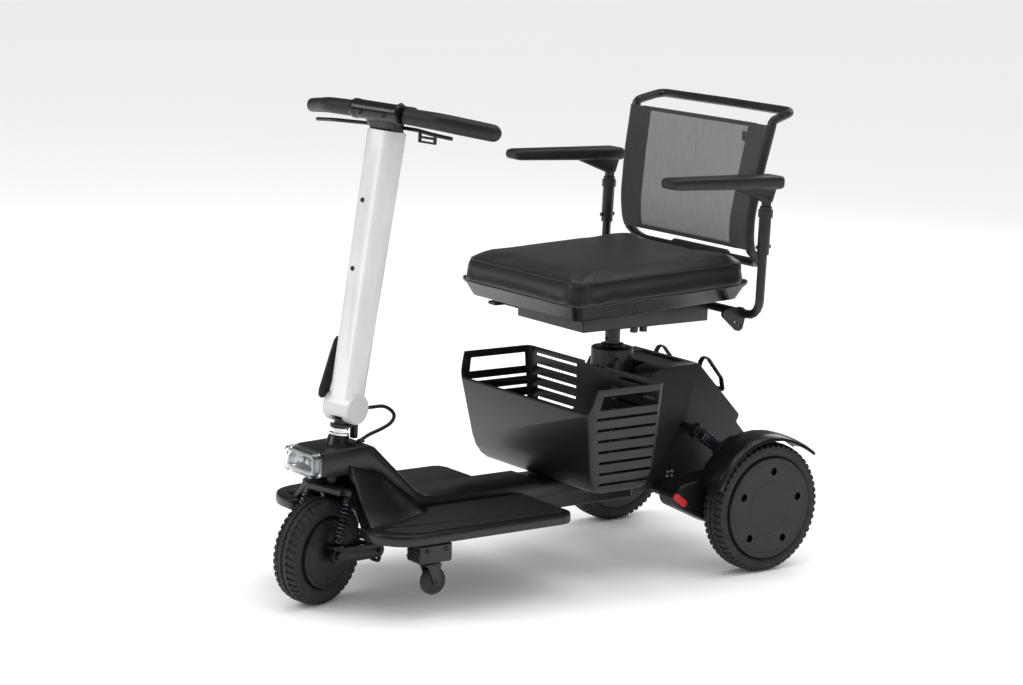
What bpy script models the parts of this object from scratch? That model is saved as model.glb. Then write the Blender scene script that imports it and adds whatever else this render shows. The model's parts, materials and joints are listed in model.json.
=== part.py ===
"""Three-wheeled mobility scooter, built as separate pieces around its real joint axes.

Metres, +Z up. The scooter faces -Y and the rider's left is +X. Z = 0 is the floor and
Y = 0 is the middle of its length. Steered pieces are drawn with the wheel straight
ahead and then turned by the steering empty.
"""

import math

import bmesh
import bpy
from mathutils import Matrix, Vector

# ---------------------------------------------------------------- driving dimensions
GAP = 0.0004            # between touching neighbours
RUNNING_GAP = 0.0008    # between pieces that move against each other

WHEELBASE_MIDDLE_SHIFT = -0.00135   # puts Y = 0 at the middle of the whole length

REAR_AXLE = Vector((0.0, 0.4623, 0.1395))
REAR_RADIUS = 0.1395
REAR_WHEEL_X = 0.2545
REAR_TYRE_WIDTH = 0.056
REAR_HUB_FACE_X = 0.2847

STEER_CENTRE = Vector((0.0, -0.4386, 0.3516))
RAKE = math.radians(6.95)
STEER_ANGLE = math.radians(17.05)

FRONT_RADIUS = 0.108
FRONT_AXLE = Vector((0.0, -0.493, FRONT_RADIUS + 0.0007))
FRONT_TYRE_WIDTH = 0.055
FRONT_HUB_FACE = 0.0349
FRONT_TYRE_SHIFT = 0.002
FRONT_ARM_PIVOT = Vector((0.0, -0.364, 0.095))

TILLER_HINGE = Vector((0.0, -0.4235, 0.3925))
TILLER_LEAN = math.radians(9.34)
TILLER_WIDTH = 0.057
TILLER_DEPTH = 0.055
TILLER_LENGTH = 0.556
HINGE_RADIUS = 0.031
HINGE_HALF = 0.0345

POD_TILT = math.radians(25)
POD_FACE = 0.028
POD_OFFSET = Vector((0.0, 0.0420, -0.0140))
HORN_X = 0.033

GRIP_END = Vector((0.245, -0.2820, 0.9600))
BAR_MIDDLE = Vector((0.0, -0.364, 0.982))
BAR_BEND = Vector((0.142, -0.3465, 0.9770))
SLEEVE_HALF = 0.060

DECK_TOP = 0.181
DECK_THICK = 0.024
DECK_HALF = 0.242
DECK_REAR = -0.020
DECK_FRONT = -0.472
TUNNEL_TOP = 0.203
BASKET_SEAT = 0.1970
COVER_HALF = 0.054
COVER_TOP = 0.3235
COVER_BOTTOM = 0.262
COVER_FRONT = -0.514

POST = Vector((0.0, 0.2465, 0.0))
POST_RADIUS = 0.0165

SEAT_HALF = 0.2065
SEAT_FRONT = -0.012
SEAT_REAR = 0.450
SEAT_RIM = 0.5967
SEAT_SLOPE = 0.040      # the rim rises this much per metre towards the rear

BACK_HINGE = Vector((0.0, 0.478, 0.650))
BACK_TUBE = 0.0095

ARM_X = 0.2640
PAD_X = 0.2675
ARM_LEAN = math.radians(1.5)
ARM_FOOT = Vector((ARM_X, 0.4245, 0.5930))
ARM_FLIP = Vector((ARM_X, 0.4300, 0.8000))

CASTER = Vector((0.212, -0.3505, 0.076))
CASTER_RADIUS = 0.028
CASTER_TRAIL = 0.012
CASTER_PLATE_LOW = 0.118


# ---------------------------------------------------------------- materials
def material(name, colour, roughness, metallic=0.0):
    """A Principled material with one colour."""
    made = bpy.data.materials.new(name)
    made.use_nodes = True
    shader = made.node_tree.nodes["Principled BSDF"]
    shader.inputs["Base Color"].default_value = (*colour, 1.0)
    shader.inputs["Roughness"].default_value = roughness
    shader.inputs["Metallic"].default_value = metallic
    made.diffuse_color = (*colour, 1.0)
    return made


def make_materials():
    """The scooter's finishes by name."""
    finishes = {
        "white_paint": ((0.80, 0.80, 0.79), 0.25, 0.0),
        "grey_plastic": ((0.55, 0.54, 0.52), 0.40, 0.0),
        "black_paint": ((0.012, 0.012, 0.014), 0.35, 0.0),
        "black_steel": ((0.010, 0.010, 0.012), 0.38, 0.2),
        "black_plastic": ((0.014, 0.014, 0.016), 0.50, 0.0),
        "grip_rubber": ((0.012, 0.012, 0.013), 0.65, 0.0),
        "mat_rubber": ((0.022, 0.022, 0.023), 0.75, 0.0),
        "tyre_rubber": ((0.018, 0.018, 0.018), 0.80, 0.0),
        "seat_leather": ((0.013, 0.013, 0.014), 0.45, 0.0),
        "back_mesh": ((0.18, 0.18, 0.18), 0.85, 0.0),
        "chrome": ((0.80, 0.80, 0.82), 0.12, 1.0),
        "spring_steel": ((0.05, 0.05, 0.055), 0.30, 0.8),
        "lens_clear": ((0.85, 0.87, 0.88), 0.05, 0.0),
        "red_plastic": ((0.60, 0.02, 0.03), 0.40, 0.0),
    }
    return {name: material(name, *look) for name, look in finishes.items()}


# ---------------------------------------------------------------- modelling helpers
def as_object(name, bm, finish):
    """Turns a bmesh, in model coordinates, into a shaded object."""
    bmesh.ops.remove_doubles(bm, verts=bm.verts, dist=1e-6)
    bmesh.ops.recalc_face_normals(bm, faces=bm.faces)
    mesh = bpy.data.meshes.new(name)
    bm.to_mesh(mesh)
    bm.free()
    thing = bpy.data.objects.new(name, mesh)
    bpy.context.scene.collection.objects.link(thing)
    mesh.materials.append(finish)
    mesh.shade_smooth()
    mesh.set_sharp_from_angle(angle=math.radians(35))
    return thing


def replace_mesh(thing):
    """Bakes an object's modifiers into its mesh."""
    graph = bpy.context.evaluated_depsgraph_get()
    mesh = bpy.data.meshes.new_from_object(thing.evaluated_get(graph))
    thing.modifiers.clear()
    thing.data = mesh
    return thing


def boolean(base, tool, operation):
    """Joins tool to base, or cuts it away, and removes tool."""
    step = base.modifiers.new(operation, "BOOLEAN")
    step.operation = operation
    step.solver = "EXACT"
    step.object = tool
    replace_mesh(base)
    bpy.data.objects.remove(tool)
    base.data.set_sharp_from_angle(angle=math.radians(35))
    return base


def union(base, *tools):
    for tool in tools:
        boolean(base, tool, "UNION")
    return base


def cut(base, *tools):
    for tool in tools:
        boolean(base, tool, "DIFFERENCE")
    return base


def rounded(thing, width, segments=2, angle=30):
    """Bevels the edges that are sharper than angle."""
    step = thing.modifiers.new("Bevel", "BEVEL")
    step.width = width
    step.segments = segments
    step.limit_method = "ANGLE"
    step.angle_limit = math.radians(angle)
    replace_mesh(thing)
    thing.data.shade_smooth()
    thing.data.set_sharp_from_angle(angle=math.radians(35))
    return thing


def box(name, low, high, finish, bevel=0.0, segments=1):
    """A block between two corners, with its edges bevelled."""
    bm = bmesh.new()
    size = [high[i] - low[i] for i in range(3)]
    middle = [(high[i] + low[i]) / 2 for i in range(3)]
    placed = Matrix.Translation(middle) @ Matrix.Diagonal((*size, 1.0))
    bmesh.ops.create_cube(bm, size=1.0, matrix=placed)
    if bevel:
        bmesh.ops.bevel(bm, geom=bm.edges[:], offset=bevel, segments=segments,
                        profile=0.5, affect="EDGES")
    return as_object(name, bm, finish)


def loft(name, rings, finish, closed=False):
    """Skins a list of rings with equal point counts, and caps both ends unless closed."""
    bm = bmesh.new()
    loops = [[bm.verts.new(point) for point in ring] for ring in rings]
    pairs = list(zip(loops, loops[1:]))
    if closed:
        pairs.append((loops[-1], loops[0]))
    else:
        bm.faces.new(reversed(loops[0]))
        bm.faces.new(loops[-1])
    for first, second in pairs:
        count = len(first)
        for i in range(count):
            following = (i + 1) % count
            bm.faces.new((first[i], first[following], second[following], second[i]))
    return as_object(name, bm, finish)


def prism(name, outline, low, high, finish, axis="X"):
    """Extrudes a flat outline between two values of an axis.

    The outline's points are the other two coordinates in X, Y, Z order.
    """
    place = {
        "X": lambda u, v, w: (w, u, v),
        "Y": lambda u, v, w: (u, w, v),
        "Z": lambda u, v, w: (u, v, w),
    }[axis]
    rings = [[place(u, v, w) for u, v in outline] for w in (low, high)]
    return loft(name, rings, finish)


def turned(name, profile, centre, finish, axis="X", segments=32):
    """Turns a closed profile of (along, radius) points round an axis through centre."""
    frames = {
        "X": (Vector((1, 0, 0)), Vector((0, 1, 0)), Vector((0, 0, 1))),
        "Y": (Vector((0, 1, 0)), Vector((0, 0, 1)), Vector((1, 0, 0))),
        "Z": (Vector((0, 0, 1)), Vector((1, 0, 0)), Vector((0, 1, 0))),
    }
    along, across, up = frames[axis]
    rings = []
    for step in range(segments):
        turn = 2 * math.pi * step / segments
        outward = across * math.cos(turn) + up * math.sin(turn)
        rings.append([centre + along * a + outward * r for a, r in profile])
    return loft(name, rings, finish, closed=True)


def solid_turned(name, stations, centre, finish, segments=32):
    """A solid turned round the X axis from (along, radius) stations, flat at both ends."""
    rings = []
    for along, radius in stations:
        ring = []
        for step in range(segments):
            turn = 2 * math.pi * step / segments
            ring.append(centre + Vector((along, radius * math.cos(turn), radius * math.sin(turn))))
        rings.append(ring)
    return loft(name, rings, finish)


def rod(name, start, end, radius, finish, segments=16, end_radius=None):
    """A straight round bar between two points."""
    start, end = Vector(start), Vector(end)
    bm = bmesh.new()
    turn = (end - start).to_track_quat("Z", "Y").to_matrix().to_4x4()
    placed = Matrix.Translation((start + end) / 2) @ turn
    bmesh.ops.create_cone(bm, cap_ends=True, segments=segments, radius1=radius,
                          radius2=radius if end_radius is None else end_radius,
                          depth=(end - start).length, matrix=placed)
    return as_object(name, bm, finish)


def tube(name, points, radius, finish, sides=2):
    """A bent round bar: a curve with a bevel and filled caps, turned into a mesh."""
    curve = bpy.data.curves.new(name, "CURVE")
    curve.dimensions = "3D"
    curve.bevel_depth = radius
    curve.bevel_resolution = sides
    curve.use_fill_caps = True
    spline = curve.splines.new("POLY")
    spline.points.add(len(points) - 1)
    for slot, point in zip(spline.points, points):
        slot.co = (*point, 1.0)
    guide = bpy.data.objects.new(name + "_path", curve)
    bpy.context.scene.collection.objects.link(guide)
    graph = bpy.context.evaluated_depsgraph_get()
    mesh = bpy.data.meshes.new_from_object(guide.evaluated_get(graph))
    bpy.data.objects.remove(guide)
    bm = bmesh.new()
    bm.from_mesh(mesh)
    return as_object(name, bm, finish)


def bent_path(corners, radius, steps=5):
    """A path through corners whose turns are arcs of the given radius."""
    corners = [Vector(corner) for corner in corners]
    path = [corners[0]]
    for before, corner, after in zip(corners, corners[1:], corners[2:]):
        inward = (before - corner).normalized()
        outward = (after - corner).normalized()
        half = inward.angle(outward) / 2
        reach = radius / math.tan(half)
        middle = corner + (inward + outward).normalized() * (radius / math.sin(half))
        first = corner + inward * reach - middle
        last = corner + outward * reach - middle
        for step in range(steps + 1):
            path.append(middle + first.slerp(last, step / steps) * radius)
    path.append(corners[-1])
    return path


def hull(name, circles, low, high, finish, count=12):
    """A flat link that wraps circles (y, z, radius) in a plane across X."""
    bm = bmesh.new()
    for y, z, radius in circles:
        for step in range(count):
            turn = 2 * math.pi * step / count
            for x in (low, high):
                bm.verts.new((x, y + radius * math.cos(turn), z + radius * math.sin(turn)))
    result = bmesh.ops.convex_hull(bm, input=bm.verts)
    spare = {v for v in result["geom_interior"] if isinstance(v, bmesh.types.BMVert)}
    bmesh.ops.delete(bm, geom=list(spare), context="VERTS")
    bmesh.ops.dissolve_limit(bm, angle_limit=math.radians(1), verts=bm.verts, edges=bm.edges)
    return as_object(name, bm, finish)


def rounded_rectangle(half_u, half_v, radius, steps=3, centre=(0.0, 0.0)):
    """Points of a rounded rectangle, anticlockwise."""
    points = []
    for quarter, (su, sv) in enumerate(((1, 1), (-1, 1), (-1, -1), (1, -1))):
        for step in range(steps + 1):
            turn = math.pi / 2 * (quarter + step / steps)
            points.append((centre[0] + su * (half_u - radius) + radius * math.cos(turn),
                           centre[1] + sv * (half_v - radius) + radius * math.sin(turn)))
    return points


def mirrored(point, side):
    """The same point on the left (side 1) or right (side -1)."""
    return Vector((point[0] * side, point[1], point[2]))


def span(low, high, side):
    """An X interval mirrored to a side, in rising order."""
    return (low, high) if side > 0 else (-high, -low)


# ---------------------------------------------------------------- joint empties
def empty(name, parent, position, turn=None):
    """An empty on a joint's axis, at a place given in model coordinates."""
    made = bpy.data.objects.new(name, None)
    made.empty_display_size = 0.03
    bpy.context.scene.collection.objects.link(made)
    made["model_position"] = tuple(position)
    offset = Vector(position)
    if parent is not None:
        made.parent = parent
        offset -= Vector(parent["model_position"])
    made.location = offset
    if turn is not None:
        made.rotation_mode = "QUATERNION"
        made.rotation_quaternion = turn
    return made


def hang(thing, pivot):
    """Parents a piece to an empty, with the piece's origin on that empty."""
    thing.data.transform(Matrix.Translation(-Vector(pivot["model_position"])))
    thing.parent = pivot
    return thing


SIDES = (("left", 1), ("right", -1))


# ---------------------------------------------------------------- chassis
def make_main_frame(finish):
    """Steel spine under the floor, with the cross tube that carries the casters."""
    spine = box("main_frame", (-0.022, -0.325, 0.126), (0.022, 0.300, 0.156), finish, 0.003)
    cross_y = CASTER.y + 0.022
    cross = box("cross", (-0.215, cross_y - 0.014, 0.1262), (0.215, cross_y + 0.014, 0.1552),
                finish, 0.003)
    union(spine, cross)
    for _, side in SIDES:
        low, high = span(0.186, 0.236, side)
        plate = box("plate", (low, cross_y - 0.068, CASTER_PLATE_LOW), (high, cross_y + 0.008, 0.1560),
                    finish, 0.003)
        union(spine, plate)
        bolt_x = [side * (CASTER.x + shift) for shift in (-0.014, 0.014)]
        for x in bolt_x:
            union(spine, rod("bolt", (x, cross_y - 0.072, 0.143), (x, cross_y - 0.064, 0.143),
                             0.0045, finish, 8))
        hook = [(side * 0.192, cross_y - 0.040, 0.136), (side * 0.176, cross_y - 0.052, 0.120),
                (side * 0.166, cross_y - 0.052, 0.120), (side * 0.166, cross_y - 0.026, 0.134),
                (side * 0.166, cross_y - 0.010, 0.134)]
        union(spine, tube("hook", hook, 0.0032, finish, 0))
    return spine


def cover_side_outline():
    """Side view of the front cover: lamp box, sloping neck and floor tunnel."""
    return [
        (COVER_FRONT, COVER_BOTTOM + 0.004), (COVER_FRONT, COVER_TOP - 0.004),
        (-0.402, COVER_TOP), (-0.385, COVER_TOP - 0.007),
        (-0.280, TUNNEL_TOP + 0.010), (-0.264, TUNNEL_TOP + 0.002), (-0.243, TUNNEL_TOP),
        (0.024, TUNNEL_TOP), (0.032, BASKET_SEAT), (0.215, BASKET_SEAT), (0.215, 0.160), (-0.325, 0.160),
        (-0.338, 0.182), (-0.356, 0.230), (-0.372, 0.254), (-0.395, COVER_BOTTOM),
    ]


def make_front_cover(finish):
    """Lamp box, neck and tunnel in one moulding, bored for the steering stem."""
    cover = prism("front_cover", cover_side_outline(), -COVER_HALF, COVER_HALF, finish)
    rounded(cover, 0.009, 2, 60)
    up = Vector((0, math.sin(RAKE), math.cos(RAKE)))
    boot = rod("boot", STEER_CENTRE - up * 0.040, STEER_CENTRE - up * 0.0135, 0.0265, finish, 24, 0.0205)
    union(cover, boot)
    bore = rod("bore", STEER_CENTRE - up * 0.14, STEER_CENTRE + up * 0.05, 0.0150, finish, 24)
    return cut(cover, bore)


def make_web(side, finish):
    """Flared gusset between the lamp box and one footboard."""
    inner = COVER_HALF - 0.004
    low = DECK_TOP - 0.0170
    high = DECK_TOP - 0.0045
    front = [(inner, 0.264), (inner, 0.292), (0.082, 0.260), (0.118, 0.214),
             (0.154, high), (0.154, low), (0.118, 0.198), (0.082, 0.244)]
    front = [(x, -0.4444 - 0.072 * x, z) for x, z in front]
    middle = [(inner, -0.380, 0.230), (inner, -0.380, 0.272), (0.076, -0.380, 0.236), (0.104, -0.380, 0.205),
              (0.132, -0.380, high), (0.132, -0.380, low), (0.104, -0.380, 0.190), (0.076, -0.380, 0.212)]
    back = [(inner, -0.296, 0.178), (inner, -0.296, 0.208), (0.064, -0.296, 0.196), (0.080, -0.296, 0.189),
            (0.098, -0.296, high), (0.098, -0.296, low), (0.080, -0.296, 0.175), (0.064, -0.296, 0.177)]
    rings = [[mirrored(point, side) for point in ring] for ring in (front, middle, back)]
    return loft("web", rings, finish)


def make_floor_deck(finish):
    """Both footboards and the flared webs that carry them up to the lamp box."""
    radius = 0.078
    rear_radius = 0.030
    centre = (-(DECK_HALF - radius), DECK_FRONT + radius)
    outline = []
    for step in range(7):
        turn = math.pi * (1.5 - 0.5 * step / 6)
        outline.append((centre[0] + radius * math.cos(turn), centre[1] + radius * math.sin(turn)))
    centre = (-(DECK_HALF - rear_radius), DECK_REAR - rear_radius)
    for step in range(5):
        turn = math.pi * (1.0 - 0.5 * step / 4)
        outline.append((centre[0] + rear_radius * math.cos(turn),
                        centre[1] + rear_radius * math.sin(turn)))
    outline += [(-x, y) for x, y in reversed(outline)]
    notch_half, notch_depth = 0.128, -0.345
    outline += [(notch_half, DECK_FRONT), (0.075, notch_depth), (-0.075, notch_depth),
                (-notch_half, DECK_FRONT)]
    deck = rounded(prism("floor_deck", outline, DECK_TOP - DECK_THICK, DECK_TOP, finish, "Z"), 0.006, 2, 60)
    plank = box("plank", (-0.070, -0.318, 0.1565), (0.070, -0.012, 0.1750), finish)
    union(deck, plank)
    for _, side in SIDES:
        union(deck, make_web(side, finish))
    tunnel = box("tunnel_room", (-COVER_HALF - GAP, DECK_FRONT - 0.02, 0.1596),
                 (COVER_HALF + GAP, 0.3, 0.35), finish)
    up = Vector((0, math.sin(RAKE), math.cos(RAKE)))
    fork_room = rod("fork_room", STEER_CENTRE - up * 0.160, STEER_CENTRE - up * 0.0985, 0.0795, finish, 32)
    return cut(deck, tunnel, fork_room)


def make_mat(name, side, finish):
    """A rubber mat lying on one footboard."""
    inner, outer = 0.066, DECK_HALF - 0.012
    front, rear = -0.445, DECK_REAR - 0.014
    radius = 0.062
    outline = [(inner, rear), (inner, -0.270), (0.100, -0.290), (0.150, -0.380), (0.168, front)]
    centre = (outer - radius, front + radius)
    for step in range(6):
        turn = math.pi * (1.5 + 0.5 * step / 5)
        outline.append((centre[0] + radius * math.cos(turn), centre[1] + radius * math.sin(turn)))
    outline += [(outer, rear - 0.018), (outer - 0.018, rear)]
    low = DECK_TOP + GAP
    return prism(name, [(x * side, y) for x, y in outline], low, low + 0.0022, finish, "Z")


def make_headlight(lens_finish, reflector_finish):
    """Clear lamp lens, open at its back, and the reflector inside it."""
    middle = (COVER_BOTTOM + COVER_TOP) / 2
    front, back = -0.5360, COVER_FRONT - GAP
    shape = rounded_rectangle(0.0540, 0.0265, 0.012, 3, (0.0, middle))
    crowned = rounded_rectangle(0.0505, 0.0230, 0.010, 3, (0.0, middle))
    rings = [[(u, back, v) for u, v in shape], [(u, front + 0.004, v) for u, v in shape],
             [(u, front, v) for u, v in crowned]]
    lens = loft("headlight_lens", rings, lens_finish)
    pocket = rounded_rectangle(0.0505, 0.0230, 0.010, 3, (0.0, middle))
    cut(lens, prism("pocket", pocket, front + 0.003, back + 0.01, lens_finish, "Y"))
    inner = rounded_rectangle(0.0490, 0.0215, 0.009, 3, (0.0, middle))
    reflector = prism("headlight_reflector", inner, back - 0.0130, back - GAP, reflector_finish, "Y")
    bowl = rounded_rectangle(0.034, 0.014, 0.008, 3, (0.0, middle))
    deep = rounded_rectangle(0.026, 0.009, 0.006, 3, (0.0, middle))
    dish = loft("dish", [[(u, back - 0.020, v) for u, v in bowl], [(u, back - 0.0130, v) for u, v in bowl],
                         [(u, back - 0.0040, v) for u, v in deep]], reflector_finish)
    cut(reflector, dish)
    return lens, reflector


# ---------------------------------------------------------------- rear section
BATTERY_TOP = Vector((0.0, 0.4112, 0.4144))
BATTERY_LOW = Vector((0.0, 0.5077, 0.3159))
BATTERY_HALF = 0.085
BATTERY_DEPTH = 0.105
HANDLE_X = 0.075
HANDLE_STRAP = 0.012
CASING_HALF = 0.110


def battery_outward():
    """Unit vector square to the sloping rear face, pointing out of the bay."""
    slope = (BATTERY_LOW - BATTERY_TOP).normalized()
    return Vector((0.0, -slope.z, slope.y))


def battery_outline(grow):
    """Side view of the battery, or of its bay when grown."""
    slope = (BATTERY_LOW - BATTERY_TOP).normalized()
    out = battery_outward()
    top = BATTERY_TOP - slope * grow
    low = BATTERY_LOW + slope * grow
    inner = out * (BATTERY_DEPTH + grow)
    outer = out * (0.03 if grow else 0.0)
    return [(p.y, p.z) for p in (top + outer, low + outer, low - inner, top - inner)]


def make_rear_casing(finish):
    """Rear housing with the battery bay in its sloping back."""
    outline = [
        (0.2687, 0.4184), (0.2937, 0.4264), (0.3937, 0.4294), (0.4037, 0.4244),
        (0.5187, 0.3064), (0.5207, 0.3014), (0.5132, 0.2884), (0.5437, 0.2554),
        (0.5437, 0.2054), (0.5047, 0.1620), (0.2400, 0.1620), (0.2447, 0.3654),
    ]
    casing = prism("rear_casing", outline, -CASING_HALF, CASING_HALF, finish)
    rounded(casing, 0.008, 2, 50)
    recess = box("post_room", (-0.0490, 0.10, 0.10), (0.0490, 0.3010, 0.50), finish, 0.004)
    cut(casing, recess)
    bay = prism("bay", battery_outline(RUNNING_GAP), -BATTERY_HALF - RUNNING_GAP,
                BATTERY_HALF + RUNNING_GAP, finish)
    cut(casing, bay)
    top_tray = box("tray", (-0.060, 0.3150, 0.4244), (0.075, 0.3810, 0.4450), finish, 0.003)
    cut(casing, top_tray)
    for _, side in SIDES:
        mount = rod("shock_mount", mirrored((CASING_HALF - 0.004, SHOCK_MOUNT[0], SHOCK_MOUNT[1]), side),
                    mirrored((SHOCK_X + 0.012, SHOCK_MOUNT[0], SHOCK_MOUNT[1]), side), 0.0110, finish, 16)
        union(casing, mount)
    return casing


def make_battery(finish):
    """Battery that slides out of the bay, with two lugs for its carrying handle."""
    pack = prism("battery_pack", battery_outline(0.0), -BATTERY_HALF, BATTERY_HALF, finish)
    rounded(pack, 0.003, 1, 50)
    out = battery_outward()
    slope = (BATTERY_LOW - BATTERY_TOP).normalized()
    for _, side in SIDES:
        foot = BATTERY_TOP + slope * 0.014
        lug = rod("lug", mirrored(Vector((HANDLE_X, foot.y, foot.z)) - out * 0.002, side),
                  mirrored(Vector((HANDLE_X, foot.y, foot.z)) + out * 0.007, side), 0.0045, finish, 8)
        union(pack, lug)
    return pack


def handle_pivot():
    slope = (BATTERY_LOW - BATTERY_TOP).normalized()
    return BATTERY_TOP + slope * 0.014 + battery_outward() * 0.0175


def make_battery_handle(finish):
    """Flat bail over the battery: two side straps and the bar between them."""
    out = battery_outward()
    slope = (BATTERY_LOW - BATTERY_TOP).normalized()
    start = handle_pivot()
    corners = [start - out * 0.009, start - slope * 0.016 + out * 0.022,
               start + slope * 0.066 + out * 0.016, start + slope * 0.088 + out * 0.002]
    half = HANDLE_STRAP / 2
    side_view = bent_path(corners, 0.012, 3)
    section = [(HANDLE_X - half, -1), (HANDLE_X + half, -1), (HANDLE_X + half, 1), (HANDLE_X - half, 1)]
    handle = rod("battery_handle", (-HANDLE_X, corners[-1].y, corners[-1].z),
                 (HANDLE_X, corners[-1].y, corners[-1].z), 0.0050, finish, 10)
    for _, side in SIDES:
        rings = []
        earlier, later = [side_view[0]] + side_view, side_view[1:] + [side_view[-1]]
        for before, point, after in zip(earlier, side_view, later):
            square = (after - before).normalized().cross(Vector((1, 0, 0)))
            rings.append([mirrored(point + Vector((x, 0, 0)) + square * 0.0017 * turn, side)
                          for x, turn in section])
        union(handle, loft("strap", rings, finish))
    return handle


def make_seat_clamp(finish):
    """Receiver tube for the seat post with its clamp block on top."""
    x, y = POST.x, POST.y
    tube_body = rod("seat_clamp", (x, y, 0.1650), (x, y, 0.3920), 0.0300, finish, 24)
    stadium = rounded_rectangle(0.0430, 0.0425, 0.0360, 4, (x, y))
    block = prism("block", stadium, 0.3890, 0.4600, finish, "Z")
    rounded(block, 0.003, 1, 60)
    collar = turned("collar", [(0.458, 0.012), (0.4665, 0.012), (0.4665, 0.0245), (0.458, 0.0265)],
                    Vector((x, y, 0.0)), finish, "Z", 24)
    union(tube_body, block, collar)
    for turn in (-1, 1):
        bolt = rod("bolt", (0.0410, y + turn * 0.018, 0.4380), (0.0465, y + turn * 0.018, 0.4380),
                   0.0048, finish, 8)
        union(tube_body, bolt)
    bore = rod("bore", (x, y, 0.1720), (x, y, 0.4800), POST_RADIUS + 0.0006, finish, 24)
    return cut(tube_body, bore)


# ---------------------------------------------------------------- steering and front wheel
def make_front_fork(finish):
    """Fork crown and legs, the stem through the cover, and the tiller's fixed knuckle."""
    up = Vector((0, math.sin(RAKE), math.cos(RAKE)))
    crown_low = STEER_CENTRE - up * 0.1225
    fork = box("front_fork", (-0.0465, -0.487, 0.2260), (0.0465, -0.392, 0.2430), finish, 0.004)
    union(fork, rod("stem", crown_low, STEER_CENTRE + up * 0.0200, 0.0125, finish, 16))
    for _, side in SIDES:
        low, high = span(0.0385, 0.0465, side)
        leg = hull("leg", [(-0.438, 0.234, 0.008), (-0.400, 0.234, 0.008),
                           (FRONT_ARM_PIVOT.y, FRONT_ARM_PIVOT.z, 0.0150)], low, high, finish)
        ear_low, ear_high = span(0.0400, 0.0640, side)
        ear = box("ear", (ear_low, -0.474, 0.2262), (ear_high, -0.446, 0.2420), finish, 0.003)
        union(fork, leg, ear)
    bolt = rod("pivot", (-0.0610, FRONT_ARM_PIVOT.y, FRONT_ARM_PIVOT.z),
               (0.0610, FRONT_ARM_PIVOT.y, FRONT_ARM_PIVOT.z), 0.0050, finish, 12)
    union(fork, bolt)
    drum_half = HINGE_HALF - 0.0090
    drum = rod("drum", (-drum_half, TILLER_HINGE.y, TILLER_HINGE.z),
               (drum_half, TILLER_HINGE.y, TILLER_HINGE.z), 0.0215, finish, 24)
    neck = box("neck", (-0.0120, -0.4385, 0.3560), (0.0120, -0.4160, 0.3860), finish, 0.002)
    collar = rod("collar", STEER_CENTRE + up * 0.0030, STEER_CENTRE + up * 0.0085, 0.0205, finish, 24)
    shelf = box("shelf", (0.0060, -0.4320, 0.3548), (0.0180, -0.4030, 0.3598), finish)
    lug = box("lug", (0.0060, -0.4135, 0.3290), (0.0180, -0.4030, 0.3598), finish)
    union(fork, neck, drum, collar, union(shelf, lug))
    bore = rod("pin_bore", (-0.06, TILLER_HINGE.y, TILLER_HINGE.z),
               (0.06, TILLER_HINGE.y, TILLER_HINGE.z), 0.0060 + RUNNING_GAP, finish, 20)
    return cut(fork, bore)


def make_headset_nut(finish):
    """Chrome nut and washers on the stem above the cover."""
    up = Vector((0, math.sin(RAKE), math.cos(RAKE)))
    base = STEER_CENTRE - up * 0.0125
    nut = rod("headset_nut", base, base + up * 0.0035, 0.0205, finish, 24)
    hexagon = rod("hexagon", base + up * 0.003, base + up * 0.0110, 0.0170, finish, 6)
    top = rod("top_washer", base + up * 0.0105, base + up * 0.0135, 0.0185, finish, 24)
    union(nut, hexagon, top)
    bore = rod("bore", base - up * 0.01, base + up * 0.03, 0.0125 + GAP, finish, 16)
    return cut(nut, bore)


def make_front_arm(finish):
    """Leading arm: a bar each side of the tyre joined by the pivot sleeve behind it."""
    sleeve = turned("front_arm", [(-0.0380, 0.0054), (0.0380, 0.0054), (0.0380, 0.0115),
                                  (-0.0380, 0.0115)], FRONT_ARM_PIVOT, finish, "X", 20)
    for _, side in SIDES:
        low, high = span(0.0473, 0.0575, side)
        bar = hull("bar", [(FRONT_ARM_PIVOT.y, FRONT_ARM_PIVOT.z, 0.0140),
                           (FRONT_AXLE.y, FRONT_AXLE.z, 0.0165)], low, high, finish)
        seat_low, seat_high = span(0.0400, 0.0640, side)
        seat = box("seat", (seat_low, -0.512, 0.1245), (seat_high, -0.484, 0.1320), finish, 0.002)
        union(bar, seat)
        bolt_room = rod("bolt_room", (side * 0.04, FRONT_ARM_PIVOT.y, FRONT_ARM_PIVOT.z),
                        (side * 0.08, FRONT_ARM_PIVOT.y, FRONT_ARM_PIVOT.z), 0.0054, finish, 16)
        cut(bar, bolt_room)
        tie_y = FRONT_ARM_PIVOT.y + 0.005
        tie = bent_path([(side * 0.0525, tie_y, FRONT_ARM_PIVOT.z - 0.0098),
                         (side * 0.0525, tie_y, FRONT_ARM_PIVOT.z - 0.0240),
                         (side * 0.0300, tie_y, FRONT_ARM_PIVOT.z - 0.0240),
                         (side * 0.0300, tie_y, FRONT_ARM_PIVOT.z - 0.0098)], 0.005, 2)
        union(sleeve, union(bar, tube("tie", tie, 0.0042, finish, 1)))
    axle_room = rod("axle_room", (-0.08, FRONT_AXLE.y, FRONT_AXLE.z), (0.08, FRONT_AXLE.y, FRONT_AXLE.z),
                    0.0060 + GAP, finish, 20)
    return cut(sleeve, axle_room)


def make_front_axle(finish):
    """Through axle with a hexagon head and nut outside the arms."""
    y, z = FRONT_AXLE.y, FRONT_AXLE.z
    axle = rod("front_axle", (-0.0620, y, z), (0.0620, y, z), 0.0060, finish, 16)
    for _, side in SIDES:
        union(axle, rod("head", (side * (0.0575 + GAP), y, z), (side * 0.0640, y, z), 0.0095, finish, 6))
    return axle


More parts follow.
